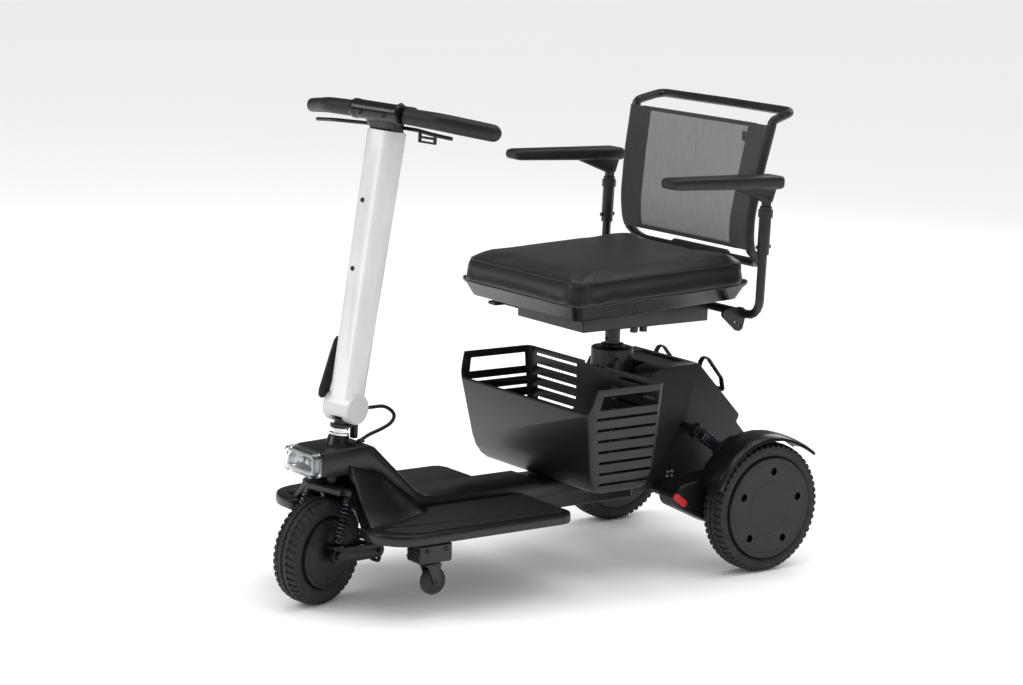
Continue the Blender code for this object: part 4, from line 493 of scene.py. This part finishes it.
# ---------------------------------------------------------------- finishes of the frame's own pieces
FINISHES = {
    "white_paint": ("tiller_column",),
    "white_cap": ("hinge_pin",),
    "grey_plastic": ("horn_button",),
    "black_paint": ("basket",),
    "deck_black": ("front_cover", "floor_deck"),
    "gloss_plastic": ("handlebar", "seat_pan", "fender_left", "fender_right", "speed_dial"),
    "black_steel": ("main_frame", "front_axle", "seat_clamp", "front_fork", "front_arm", "seat_bracket",
                    "seat_post", "swivel_lever", "backrest_hinge", "armrest_frame", "arm_post_left",
                    "arm_post_right", "backrest_frame", "swing_arm_left", "swing_arm_right",
                    "caster_fork_left", "caster_fork_right"),
    "black_plastic": ("rear_casing", "front_hub", "control_pod", "release_lever", "throttle_lever",
                      "battery_pack", "battery_handle", "rear_hub_left", "rear_hub_right"),
    "grip_rubber": ("grip_left", "grip_right", "arm_pad_left", "arm_pad_right", "tiller_cable"),
    "tyre_rubber": ("caster_wheel_left", "caster_wheel_right", "front_tyre", "rear_tyre_left",
                    "rear_tyre_right"),
    "mat_rubber": ("floor_mat_left", "floor_mat_right"),
    "chrome": ("headset_nut", "headlight_reflector"),
    "lens_clear": ("headlight_lens",),
    "spring_steel": ("front_spring_left", "front_spring_right", "rear_spring_left", "rear_spring_right"),
    "seat_leather": ("seat_cushion",),
    "back_mesh": ("backrest_mesh",),
    "red_plastic": ("brake_lever_left", "brake_lever_right"),
}
for look, names in FINISHES.items():
    for name in names:
        dressed(nodes[name].data, looks[look])


def refined(name, width):
    """The frame's piece again, with flat facets merged, edges rounded and shading smoothed."""
    source = nodes[name]
    bm = bmesh.new()
    bm.from_mesh(source.data)
    bmesh.ops.remove_doubles(bm, verts=bm.verts, dist=1e-6)
    bmesh.ops.dissolve_limit(bm, angle_limit=math.radians(1.0), verts=bm.verts, edges=bm.edges)
    made = placed(name + "_fine", meshed(name + "_fine", bm))
    dressed(made.data, source.data.materials[0])
    modify(made, "BEVEL", width=width, segments=3, limit_method="ANGLE", angle_limit=math.radians(35))
    made.data.shade_smooth()
    made.data.set_sharp_from_angle(angle=math.radians(40))
    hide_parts(name)
    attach(made, BODY_OF[name])


BODY_OF = {node: body for body, group in frame["record"]["behaviour"]["bodies"].items() for node in group}
for name, width in (("floor_deck", 0.0030), ("front_cover", 0.0050), ("seat_pan", 0.0020), ("basket", 0.0009),
                    ("rear_casing", 0.0022), ("fender_left", 0.0008), ("fender_right", 0.0008),
                    ("seat_clamp", 0.0012), ("front_arm", 0.0010), ("control_pod", 0.0016),
                    ("seat_bracket", 0.0010), ("tiller_column", 0.0012), ("arm_pad_left", 0.0040),
                    ("arm_pad_right", 0.0040)):
    refined(name, width)


COLUMN_FOOT = 0.05


def column_growth(along):
    """How much wider the column is at a height than at its foot."""
    return 1.0 + 0.14 * min(1.0, (along - COLUMN_FOOT) / 0.30)


def stouter(name):
    """Widens the tiller column towards its top, about its own axis."""
    back_turn = STEER_TURN.transposed()
    for vertex in bpy.data.objects[name].data.vertices:
        point = STEER_CENTRE + back_turn @ (vertex.co - SHIFT - STEER_CENTRE) - TILLER_HINGE
        along = point.dot(TILLER_UP)
        if along > COLUMN_FOOT:
            grow = column_growth(along)
            vertex.co = tiller(point.x * grow, point.dot(TILLER_FRONT) * grow, along)


stouter("tiller_column_fine")


# ---------------------------------------------------------------- wheels
# A shoulder lug's rows: place across the tread, then its lead and width in shares of the pitch.
LUG_SHAPE = ((0.50, 0.0, 0.50), (0.66, 0.22, 0.60), (0.86, 0.34, 0.66), (0.985, 0.38, 0.62))


def tyre(name, centre, axis, radius, half, rim, blocks, body, node):
    """Solid tyre: two zigzag ribs round the middle and a row of slanted lugs on each shoulder."""
    axis = axis.normalized()
    across = axis.orthogonal().normalized()
    over = axis.cross(across)
    depth = 0.0033

    def crown(share):
        return radius - 0.0050 * abs(share) ** 3

    def spot(turn, share, lift):
        outward = across * math.cos(turn) + over * math.sin(turn)
        return centre + axis * share * half + outward * (crown(share) + lift)

    bm = bmesh.new()
    side = [(half * 0.84, rim), (half * 0.94, rim + 0.003), (half, radius - 0.022),
            (half * 0.995, radius - 0.0125), (half * 0.96, crown(0.96) - depth - 0.001),
            (half * 0.6, crown(0.6) - depth), (half * 0.2, crown(0.2) - depth)]
    lathe(bm, side + [(-a, r) for a, r in reversed(side)], centre, axis, 96)
    step = 2 * math.pi / blocks
    for sign in (1, -1):
        rings = []
        for k in range(blocks * 4):
            sway = (0.0, 0.5, 1.0, 0.5)[(k + (2 if sign < 0 else 0)) % 4] * 0.15
            turn = step * k / 4
            inner, outer = sign * (0.035 + sway * 0.55), sign * (0.36 + sway)
            rings.append([spot(turn, inner, -depth - 0.0006), spot(turn, inner + sign * 0.02, 0),
                          spot(turn, outer - sign * 0.02, 0), spot(turn, outer, -depth - 0.0006)])
        skin(bm, rings, wrap=True)
        for k in range(blocks):
            start = step * (k + (0.5 if sign < 0 else 0.0))
            lug = []
            for share, lead, width in LUG_SHAPE:
                first, last = start + step * lead, start + step * (lead + width)
                drop = 0.0012 if share > 0.9 else 0.0
                lug.append([spot(first, share * sign, -depth - 0.001),
                            spot(first + step * 0.07, share * sign, -drop),
                            spot(last - step * 0.07, share * sign, -drop),
                            spot(last, share * sign, -depth - 0.001)])
            skin(bm, lug)
    made = piece(name, bm, "tyre_rubber", 32)
    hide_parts(node)
    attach(made, body)


def disc_rings(name, centre, axis, radii, face, body):
    """Thin raised rings on a wheel's flat cover."""
    bm = bmesh.new()
    for radius in radii:
        lathe(bm, [(face - 0.0006, radius - 0.0016), (face + 0.0003, radius - 0.0007),
                   (face + 0.0003, radius + 0.0007), (face - 0.0006, radius + 0.0016)], centre, axis, 96)
    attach(piece(name, bm, "black_plastic"), body)


def screw(bm, centre, axis, radius, height):
    """A low round screw head with a round socket."""
    profile = ((-0.001, radius), (height * 0.6, radius), (height, radius * 0.86), (height, radius * 0.46),
               (height * 0.3, radius * 0.44))
    axis = axis.normalized()
    normal = axis.orthogonal()
    skin(bm, [ring_round(centre + axis * a, axis, r, 18, normal) for a, r in profile])


front_axis = (steered(1, 0, 0) - steered(0, 0, 0)).normalized()
front_centre = steered(*FRONT_AXLE)
tyre("front_tread", steered(*(FRONT_AXLE + Vector((0.002, 0, 0)))), front_axis, FRONT_RADIUS, 0.0275,
     0.0735, 44, "front_wheel", "front_tyre")


def front_hub():
    """Flat covers of the front wheel with a turned lip and a ring of screws."""
    bm = bmesh.new()
    face = 0.0349
    side = [(face - depth, radius) for depth, radius in (
        (0.0012, 0.0065), (0.0012, 0.0110), (0.0008, 0.0170), (0.0008, 0.0500), (0.0016, 0.0515),
        (0.0016, 0.0640), (0.0002, 0.0655), (0.0, 0.0690), (0.0014, 0.0712), (0.0100, 0.0728))]
    lathe(bm, side + [(-a, r) for a, r in reversed(side)], front_centre, front_axis, 96)
    for sign in (1, -1):
        for k in range(3):
            turn = math.radians(90 + 120 * k)
            offset = steered(0, math.cos(turn) * 0.0575, -math.sin(turn) * 0.0575) - steered(0, 0, 0)
            outward = front_axis * sign
            screw(bm, front_centre + outward * (face - 0.0018) + offset, outward, 0.0042, 0.0016)
    made = piece("front_wheel_cover", bm, "black_plastic")
    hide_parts("front_hub")
    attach(made, "front_wheel")


front_hub()
for word, side in SIDES:
    axis = Vector((side, 0, 0))
    centre = still(REAR_AXLE.x * side, REAR_AXLE.y, REAR_AXLE.z)
    tyre("rear_tread_" + word, centre, axis, REAR_RADIUS, 0.028, 0.1110, 56, "rear_wheel_" + word,
         "rear_tyre_" + word)
    hub = still(0.0, REAR_AXLE.y, REAR_AXLE.z)
    disc_rings("rear_disc_rings_" + word, hub, axis, (0.0545, 0.0970, 0.1035), 0.2847, "rear_wheel_" + word)
    screws, pocket_shade = bmesh.new(), bmesh.new()
    for k in range(5):
        turn = DISC_HOLE_TURN + math.radians(72 * k)
        spot = hub + Vector((0, math.sin(turn), math.cos(turn))) * DISC_HOLES
        screw(screws, spot + axis * 0.2738, axis, 0.0048, 0.0030)
        # A near-black lining inside each screw pocket: painted shade.
        lathe(pocket_shade, [(0.2749, 0.0054), (0.2749, 0.0087), (0.2846, 0.0087), (0.2846, 0.0080),
                        (0.2756, 0.0078), (0.2756, 0.0054)], spot, axis, 32)
    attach(piece("rear_disc_screws_" + word, screws, "black_steel"), "rear_wheel_" + word)
    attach(piece("rear_disc_pockets_" + word, pocket_shade, "painted_pocket_shade"),
            "rear_wheel_" + word)


# ---------------------------------------------------------------- springs
def coil_over(name, low, high, turns, radius, wire, damper, bodies, node):
    """Dense coil on a damper; the damper's body and head sit on two bodies."""
    along = (high - low).normalized()
    across = along.orthogonal().normalized()
    over = along.cross(across)
    length = (high - low).length
    bm = bmesh.new()
    path = []
    first, last = 0.10, 1.0 - damper
    steps = turns * 16
    for k in range(steps + 1):
        turn = 2 * math.pi * k / 16
        share = first + (last - first) * k / steps
        outward = across * math.cos(turn) + over * math.sin(turn)
        path.append(low + along * length * share + outward * radius)
    tube(bm, path, wire, 8)
    coil = piece(name, bm, "spring_steel")
    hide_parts(node)
    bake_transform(coil)
    bm = bmesh.new()
    lathe(bm, [(0.001, 0.0008), (0.001, radius * 0.55), (length * 0.60, radius * 0.55),
               (length * 0.60, 0.0008)], low, along, 20)
    lathe(bm, [(0.0015, 0.0008), (0.0015, radius * 1.05), (length * 0.06, radius * 1.1),
               (length * 0.085, radius * 0.9), (length * 0.085, 0.0008)], low, along, 24)
    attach(piece(name + "_body", bm, "black_steel"), bodies[0])
    bm = bmesh.new()
    lathe(bm, [(-0.001, 0.0008), (-0.001, radius * 0.95), (-length * damper * 0.8, radius * 1.0),
               (-length * damper, radius * 1.12), (-length * damper - 0.002, 0.0008)], high, along, 24)
    lathe(bm, [(-length * 0.02, 0.0006), (-length * 0.02, 0.0022), (-length * 0.62, 0.0022),
               (-length * 0.62, 0.0006)], high, along, 14)
    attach(piece(name + "_head", bm, "black_steel"), bodies[1])


for word, side in SIDES:
    coil_over("front_coil_" + word, steered(side * 0.0520, -0.4965, 0.1342),
              steered(side * 0.0520, -0.4610, 0.2245), 9, 0.0090, 0.0019, 0.16, ("front_arm", "steering"),
              "front_spring_" + word)
    mirror = Vector((side, 1, 1))
    foot = SHOCK_FOOT + (SHOCK_HEAD - SHOCK_FOOT).normalized() * 0.0085
    coil_over("rear_coil_" + word, still(*(foot * mirror)), still(*(SHOCK_HEAD * mirror)), 9, 0.0126, 0.0021,
              0.03, ("swing_" + word, "chassis"), "rear_spring_" + word)


# ---------------------------------------------------------------- handlebar and tiller dressing
def grip(word, side):
    """Rubber grip with a soft palm swell, shallow end ring and a domed end."""
    bend, end = (corner * Vector((side, 1, 1)) for corner in (BAR_BEND, GRIP_END))
    start = BAR_MIDDLE.lerp(bend, 0.0625 / BAR_BEND.x)
    path = bent_path([start, bend, end], 0.060, 10)
    lead = [path[0].lerp(path[1], k / 8) for k in range(8)]
    tail = [path[-2].lerp(path[-1], 1 - (1 - k / 20) ** 2) for k in range(1, 21)]
    path = lead + path[1:-1] + tail
    total = sum((b - a).length for a, b in zip(path, path[1:]))
    rings = []
    gone = 0.0
    previous = path[0]
    for i, point in enumerate(path):
        gone += (point - previous).length
        previous = point
        left = total - gone
        size = 0.0160 + 0.0010 * math.sin(math.pi * min(1.0, gone / total)) + 0.0006 * gone / total
        if gone < 0.004:
            size -= 0.0012 * (1 - gone / 0.004)
        if side < 0:
            size *= 1.0 - 0.16 * min(1.0, gone / total * 1.6)
        dome = size
        if left < dome:
            size = max(0.0012, math.sqrt(max(0.0, dome ** 2 - (dome - left) ** 2)))
        tangent = path[min(i + 1, len(path) - 1)] - path[max(i - 1, 0)]
        ring = []
        across = tangent.cross(Vector((0, 0, 1))).normalized()
        over = across.cross(tangent.normalized())
        for k in range(28):
            turn = 2 * math.pi * k / 28
            flat = 1.0 - 0.035 * math.cos(2 * turn) - 0.02 * math.cos(4 * turn)
            spot = point + (across * math.cos(turn) + over * math.sin(turn)) * size * flat
            ring.append(steered(*spot))
        rings.append(ring)
    bm = bmesh.new()
    skin(bm, rings)
    made = piece("grip_sleeve_" + word, bm, "grip_rubber", 60)
    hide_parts("grip_" + word)
    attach(made, "tiller")


for word, side in SIDES:
    grip(word, side)


def bar_dressing():
    """Collars and clamp screws on the bar sleeve, and the strip down the back of the column."""
    bm = bmesh.new()
    axis = front_axis
    middle = steered(*BAR_MIDDLE)
    for sign in (1, -1):
        lathe(bm, [(0.0480 * sign, 0.0186), (0.0480 * sign, 0.0196), (0.0520 * sign, 0.0199),
                   (0.0590 * sign, 0.0197), (0.0604 * sign, 0.0186)], middle, axis, 48)
    for x in (-0.030, 0.030):
        spot = BAR_MIDDLE + Vector((x, -0.0188, -0.0040))
        out = steered(0, -1, 0) - steered(0, 0, 0)
        screw(bm, steered(*spot), out, 0.0042, 0.0022)
    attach(piece("bar_collars", bm, "gloss_plastic"), "tiller")
    bm = bmesh.new()
    low, high = 0.046, 0.553
    rings = []
    for along in (low, low + 0.004, 0.35, high - 0.002, high):
        grow = 0.0 if along in (low, high) else 0.0006
        back = -0.0271 * column_growth(max(along, COLUMN_FOOT))
        proud = back - 0.0005 - grow
        shape = ((-0.0080, back), (-0.0074, proud), (0.0074, proud), (0.0080, back))
        rings.append([tiller(u, v, along) for u, v in shape])
    skin(bm, rings)
    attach(piece("column_strip", bm, "black_plastic"), "tiller")
    bm = bmesh.new()
    for along in (0.277, 0.414):
        face = 0.0275 * column_growth(along)
        hole = tiller(-0.010, face, along)
        out = tiller(-0.010, face + 0.01, along) - hole
        lathe(bm, [(-0.004, 0.0002), (-0.004, 0.0048), (0.0006, 0.0050), (0.0006, 0.0042), (-0.0010, 0.0036),
                   (-0.0010, 0.0002)], hole, out, 28)
    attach(piece("column_screws", bm, "black_steel"), "tiller")
    bm = bmesh.new()
    for sign in (1, -1):
        centre = steered(0, TILLER_HINGE.y, TILLER_HINGE.z) + axis * sign * 0.0345
        lathe(bm, [(-0.0005 * sign, 0.0270), (0.0003 * sign, 0.0274), (0.0003 * sign, 0.0286),
                   (-0.0005 * sign, 0.0290)], centre, axis, 64)
    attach(piece("hinge_cap_rims", bm, "white_cap"), "tiller")


bar_dressing()


def cable():
    """Lead from the tiller hinge to the lamp box."""
    turned = ((-0.3905, 0.3775), (-0.3680, 0.3795), (-0.3443, 0.3793), (-0.3049, 0.3753), (-0.2795, 0.3633),
              (-0.2679, 0.3493), (-0.2775, 0.3367), (-0.3042, 0.3290))
    entry = still(0.0200, -0.4010, 0.3236)
    path = [steered(0.0, y, z) for y, z in turned]
    path += [still(-0.006, -0.3640, 0.3290), entry + Vector((0, 0, 0.0030))]
    bm = bmesh.new()
    tube(bm, smooth_path(path, 8), 0.0038, 14)
    made = piece("tiller_lead", bm, "grip_rubber", 60)
    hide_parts("tiller_cable")
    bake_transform(made)
    bm = bmesh.new()
    lathe(bm, [(-0.002, 0.0032), (-0.002, 0.0066), (0.003, 0.0062), (0.009, 0.0040), (0.009, 0.0032)],
          path[0], path[1] - path[0], 20)
    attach(piece("lead_boot", bm, "grip_rubber"), "steering")
    bm = bmesh.new()
    lathe(bm, [(0.0002, 0.0010), (0.0002, 0.0090), (0.0020, 0.0086), (0.0052, 0.0056), (0.0060, 0.0010)],
          entry, Vector((0, 0, 1)), 20)
    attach(piece("lead_grommet", bm, "grip_rubber"), "chassis")


cable()


# ---------------------------------------------------------------- lamp
LAMP_MIDDLE = (0.262 + 0.3235) / 2


def lamp_rings(rows):
    """Rounded rectangles across the lamp; a row is half width, half height, corner radius, place."""
    return [[still(x, y, z) for x, z in rounded_rectangle(u, v, r, 6, (0.0, LAMP_MIDDLE))]
            for u, v, r, y in rows]


def lamp():
    """Clear lens shell, fluted reflector bowl and the lamp's bright middle."""
    front, back = -0.5360, -0.5144
    outer = [(0.0545, 0.0268, 0.0125, back), (0.0548, 0.0271, 0.0125, back - 0.003),
             (0.0536, 0.0262, 0.0125, back - 0.004), (0.0534, 0.0260, 0.0125, front + 0.0050),
             (0.0518, 0.0244, 0.0115, front + 0.0016), (0.0490, 0.0216, 0.0095, front)]
    inner = [(0.0465, 0.0190, 0.0080, front + 0.0028), (0.0490, 0.0216, 0.0095, front + 0.0042),
             (0.0500, 0.0226, 0.0100, back)]
    bm = bmesh.new()
    loops = skin(bm, lamp_rings(outer), caps=False)
    bm.faces.new(loops[-1])
    inside = skin(bm, lamp_rings(inner), caps=False)
    bm.faces.new(reversed(inside[0]))
    for i in range(len(loops[0])):
        j = (i + 1) % len(loops[0])
        bm.faces.new((loops[0][j], loops[0][i], inside[-1][i], inside[-1][j]))
    lens = piece("lamp_lens", bm, "lens_clear")
    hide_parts("headlight_lens")
    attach(lens, "chassis")
    bm = bmesh.new()
    dish = [(0.0492, 0.0218, 0.0095, back - 0.0004), (0.0492, 0.0218, 0.0095, back - 0.0125),
            (0.0400, 0.0180, 0.0085, back - 0.0125), (0.0360, 0.0160, 0.0080, back - 0.0095),
            (0.0270, 0.0110, 0.0060, back - 0.0040), (0.0120, 0.0060, 0.0040, back - 0.0020)]
    skin(bm, lamp_rings(dish))
    bowl = piece("lamp_bowl", bm, "reflector")
    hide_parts("headlight_reflector")
    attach(bowl, "chassis")
    bm = bmesh.new()
    for x in (-0.012, 0.012):
        lathe(bm, [(0.0, 0.0002), (0.0, 0.0075), (0.0030, 0.0070), (0.0055, 0.0045), (0.0062, 0.0002)],
              still(x, back - 0.0030, LAMP_MIDDLE), Vector((0, -1, 0)), 28)
    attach(piece("lamp_diodes", bm, "lamp_diode"), "chassis")
    bm = bmesh.new()
    bezel = [(0.0470, 0.0196, 0.0095, back - 0.0126), (0.0470, 0.0196, 0.0095, back - 0.0150),
             (0.0425, 0.0158, 0.0080, back - 0.0156), (0.0405, 0.0140, 0.0072, back - 0.0140),
             (0.0405, 0.0140, 0.0072, back - 0.0126)]
    skin(bm, lamp_rings(bezel), wrap=True)
    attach(piece("lamp_bezel", bm, "lamp_frame"), "chassis")


lamp()


# ---------------------------------------------------------------- floor mats
def mat(word, side):
    """Rubber mat with a rounded border."""
    low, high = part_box("floor_mat_" + word)
    inner, outer = 0.066, 0.230
    front, rear = -0.445, -0.034
    corner = 0.062
    outline = [(inner, rear), (inner, -0.270), (0.100, -0.290), (0.150, -0.380), (0.168, front)]
    for step in range(11):
        turn = math.pi * (1.5 + 0.05 * step)
        outline.append((outer - corner + corner * math.cos(turn), front + corner + corner * math.sin(turn)))
    outline += [(outer, rear - 0.018), (outer - 0.005, rear - 0.005), (outer - 0.018, rear)]
    centre = Vector((0.15, -0.22))
    rings = []
    for shrink, z in ((0.0, low.z), (0.0, high.z - 0.0006), (0.0008, high.z), (0.0030, high.z),
                      (0.0034, high.z - 0.0007), (0.0042, high.z - 0.0007), (0.0046, high.z)):
        ring = []
        for i, (x, y) in enumerate(outline):
            before, after = Vector(outline[i - 1]), Vector(outline[(i + 1) % len(outline)])
            along = (after - before).normalized()
            inward = Vector((-along.y, along.x))
            if inward.dot(centre - Vector((x, y))) < 0:
                inward = -inward
            spot = Vector((x, y)) + inward * shrink
            ring.append(Vector((spot.x * side, spot.y + SHIFT.y, z)))
        rings.append(ring)
    bm = bmesh.new()
    skin(bm, rings)
    made = piece("ribbed_mat_" + word, bm, "mat_rubber")
    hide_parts("floor_mat_" + word)
    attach(made, "chassis")


for word, side in SIDES:
    mat(word, side)


# ---------------------------------------------------------------- seat
def seat_rim(y):
    return SEAT_RIM + (y - SEAT_FRONT) * SEAT_SLOPE


def seat_ring(inset, lift, radius, steps=8):
    """The seat's outline, set in by a margin and lifted above the pan's rim."""
    middle = (SEAT_FRONT + SEAT_REAR) / 2
    half = (SEAT_REAR - SEAT_FRONT) / 2 - inset
    shape = rounded_rectangle(SEAT_HALF - inset, half, radius, steps, (0.0, middle))
    return [still(x, y, seat_rim(y) + lift) for x, y in shape]


def inflate(thing, voxel, pressure, cap, pinned):
    """Stuffs a closed form: remesh, cloth with pressure, and a limit on the swelling."""
    modify(thing, "REMESH", mode="VOXEL", voxel_size=voxel)
    rest = [v.co.copy() for v in thing.data.vertices]
    group = thing.vertex_groups.new(name="pin")
    group.add([i for i, co in enumerate(rest) if pinned(co)], 1.0, "REPLACE")
    cloth = thing.modifiers.new("Cloth", "CLOTH")
    for key, value in (("quality", 4), ("use_pressure", True), ("uniform_pressure_force", pressure),
                       ("tension_stiffness", 22), ("compression_stiffness", 22), ("bending_stiffness", 0.8)):
        setattr(cloth.settings, key, value)
    cloth.settings.effector_weights.gravity = 0.0
    cloth.collision_settings.use_collision = False
    cloth.settings.vertex_group_mass = "pin"
    cloth.point_cache.frame_start, cloth.point_cache.frame_end = 1, 20
    for step in range(1, 21):
        bpy.context.scene.frame_set(step)
    graph = bpy.context.evaluated_depsgraph_get()
    moved = [v.co.copy() for v in thing.evaluated_get(graph).data.vertices]
    thing.modifiers.clear()
    bpy.context.scene.frame_set(1)
    for vertex, start, end in zip(thing.data.vertices, rest, moved):
        shift = end - start
        if shift.length > cap:
            shift = shift.normalized() * cap
        vertex.co = start + shift


def cushion_seams(cover):
    """The two welts, laid on the cover's surface and open at the notch behind."""
    bm = bmesh.new()
    bm.from_mesh(cover.data)
    tree = BVHTree.FromBMesh(bm)
    bm.free()
    seams = bmesh.new()
    for lift, size, inset in ((0.0470, 0.0019, 0.002), (-0.0055, 0.0024, -0.002)):
        guide = seat_ring(inset, lift, 0.042, 12)
        dense = []
        for a, b in zip(guide, guide[1:] + guide[:1]):
            count = max(1, int((b - a).length / 0.008))
            dense += [a.lerp(b, k / count) for k in range(count)]
        path = []
        for point in dense:
            if abs(point.x) >= 0.100 or point.y <= 0.40:
                spot, normal, _, _ = tree.find_nearest(point)
                path.append(spot + normal * 0.0003)
        gap = max(range(len(path)), key=lambda k: (path[k] - path[k - 1]).length)
        path = path[gap:] + path[:gap]
        for _ in range(3):
            inside = [(a + b * 2 + c) / 4 for a, b, c in zip(path, path[1:], path[2:])]
            path = [path[0]] + inside + [path[-1]]
        tube(seams, path, size, 8)
    return seams


def cushion():
    """Leatherette cushion: a crowned, stuffed form with an upper and a lower welt."""
    bm = bmesh.new()
    skin(bm, [seat_ring(*row) for row in (
        (0.004, -0.0080, 0.036), (0.000, -0.0030, 0.038), (0.000, 0.0300, 0.044), (0.003, 0.0430, 0.046),
        (0.014, 0.0500, 0.048), (0.060, 0.0545, 0.045), (0.120, 0.0570, 0.030))])
    made = piece("cushion_cover", bm, "seat_leather", 60)
    bm = bmesh.new()
    bmesh.ops.create_cube(bm, size=1.0, matrix=Matrix.Translation(still(0, 0.475, 0.64))
                          @ Matrix.Diagonal((0.206, 0.112, 0.20, 1.0)))
    tool = placed("notch", meshed("notch", bm))
    modify(made, "BOOLEAN", operation="DIFFERENCE", object=tool, solver="EXACT")
    bpy.data.objects.remove(tool)
    voxel = 0.007
    inflate(made, voxel, 4.0, 0.0075, lambda co: co.z < seat_rim(co.y) - 0.0066)
    modify(made, "SMOOTH", factor=0.5, iterations=4)
    modify(made, "SUBSURF", levels=1)
    reach = max(abs(vertex.co.x) for vertex in made.data.vertices)
    front = min(vertex.co.y for vertex in made.data.vertices)
    rear = max(vertex.co.y for vertex in made.data.vertices)
    low, high = SEAT_FRONT + SHIFT.y - 0.0030, SEAT_REAR + SHIFT.y - 0.002
    for vertex in made.data.vertices:
        vertex.co.x *= (SEAT_HALF + 0.0035) / reach
        vertex.co.y = low + (vertex.co.y - front) * (high - low) / (rear - front)
        vertex.co.z = max(vertex.co.z, seat_rim(vertex.co.y) + CUSHION_FOOT)
    dressed(made.data, looks["seat_leather"])
    made.data.shade_smooth()
    welts = piece("cushion_welts", cushion_seams(made), "seat_leather", 60)
    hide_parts("seat_cushion")
    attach(made, "seat")
    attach(welts, "seat")
    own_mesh(made)
    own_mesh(welts)


cushion()

# The uprights' centre line: across, along and height of each point.
UPRIGHT = ((0.2050, 0.4447, 0.680), (0.2065, 0.4370, 0.700), (0.2095, 0.4340, 0.750), (0.2180, 0.4470, 0.850),
           (0.2270, 0.4690, 0.956))


def upright_at(height):
    """The upright's place across and along at a height."""
    for low, high in zip(UPRIGHT, UPRIGHT[1:]):
        if height <= high[2]:
            break
    share = (height - low[2]) / (high[2] - low[2])
    return low[0] + (high[0] - low[0]) * share, low[1] + (high[1] - low[1]) * share


def upright_mean(height, top=1.0):
    """The upright's place across and along, averaged over a short height."""
    spots = [upright_at(min(h, top)) for h in (height - 0.012, height, height + 0.012)]
    return sum(x for x, _ in spots) / 3, sum(y for _, y in spots) / 3


def back_spot(share, height, lift):
    """A point of the stretched panel: share runs from -1 to 1 between the uprights."""
    x, y = upright_mean(height)
    sag = 0.012 * math.sin(math.pi * (height - 0.655) / 0.315) * (1 - share * share)
    return still(share * (x - 0.006), y - 0.0075 + sag + lift, height)


def backrest():
    """Stretched open mesh with black bands that wrap the uprights, and hems above and below."""
    low, high, columns, rows = 0.686, 0.944, 40, 26
    bm = bmesh.new()
    grid = [[bm.verts.new(back_spot(-0.88 + 1.76 * c / columns, low + (high - low) * r / rows, 0.0))
             for c in range(columns + 1)] for r in range(rows + 1)]
    for r in range(rows):
        for c in range(columns):
            bm.faces.new((grid[r][c], grid[r][c + 1], grid[r + 1][c + 1], grid[r + 1][c]))
    panel = piece("back_panel", bm, "back_mesh", 60)
    modify(panel, "SOLIDIFY", thickness=0.0009, offset=0.0)
    dressed(panel.data, looks["back_mesh"])
    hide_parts("backrest_mesh")
    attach(panel, "backrest")
    for word, side in SIDES:
        bm = bmesh.new()
        rings = []
        for r in range(rows + 1):
            height = low - 0.003 + (high - low + 0.006) * r / rows
            x, y = upright_mean(height, UPRIGHT[-1][2])
            turns = [math.radians(-15 + 215 * step / 12) for step in range(13)]
            ring = [back_spot(0.745 * side, height, -0.0014)]
            for reach, order in ((0.0112, turns), (0.0100, turns[::-1])):
                ring += [still((x + reach * math.sin(turn)) * side, y - reach * math.cos(turn), height)
                         for turn in order]
            ring.append(back_spot(0.745 * side, height, -0.0006))
            rings.append(ring)
        skin(bm, rings)
        band = piece("back_band_" + word, bm, "black_band", 60)
        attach(band, "backrest")
    bm = bmesh.new()
    for height in (low + 0.001, high - 0.001):
        rings = []
        for c in range(columns + 1):
            share = -0.86 + 1.72 * c / columns
            middle = back_spot(share, height, 0.0)
            rings.append([middle + Vector((0, 0.0016 * math.cos(turn), 0.0052 * math.sin(turn)))
                          for turn in (2 * math.pi * k / 10 for k in range(10))])
        skin(bm, rings)
    hems = piece("back_hems", bm, "black_band", 60)
    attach(hems, "backrest")
    bm = bmesh.new()
    centre = back_spot(0.715, 0.918, -0.0022)
    shape = rounded_rectangle(0.0050, 0.0100, 0.0010, 2)
    skin(bm, [[centre + Vector((u, -d, v)) for u, v in shape] for d in (0.0, 0.0010)])
    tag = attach(piece("back_tag", bm, "black_band"), "backrest")


backrest()


# ---------------------------------------------------------------- bolts and cups
def caster_details():
    """Bolt heads on each anti-tip caster's plate."""
    for word, side in SIDES:
        bm = bmesh.new()
        for y in (-0.3800, -0.3360):
            lathe(bm, [(-0.0006, 0.0006), (-0.0006, 0.0052), (0.0020, 0.0048), (0.0026, 0.0032),
                       (0.0010, 0.0024), (0.0010, 0.0006)], still(0.2362 * side, y, 0.1440),
                  Vector((side, 0, 0)), 18)
        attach(piece("caster_bolts_" + word, bm, "black_steel"), "chassis")


def casing_details():
    """Side screws and shock cups on the rear casing."""
    for word, side in SIDES:
        bm = bmesh.new()
        for y in (0.3216, 0.3336):
            for z in (0.1995, 0.1895):
                screw(bm, still(side * 0.1100, y, z), Vector((side, 0, 0)), 0.0036, 0.0016)
        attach(piece("casing_screws_" + word, bm, "chrome"), "chassis")
        bm = bmesh.new()
        foot, head = (still(*(end * Vector((side, 1, 1)))) for end in (SHOCK_FOOT, SHOCK_HEAD))
        lathe(bm, [(-0.0040, 0.0150), (-0.0040, 0.0168), (0.0035, 0.0178), (0.0130, 0.0170), (0.0150, 0.0150),
                   (0.0150, 0.0020), (0.0120, 0.0020), (0.0100, 0.0150)], head, head - foot, 40)
        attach(piece("shock_cup_" + word, bm, "gloss_plastic"), "chassis")


casing_details()
caster_details()
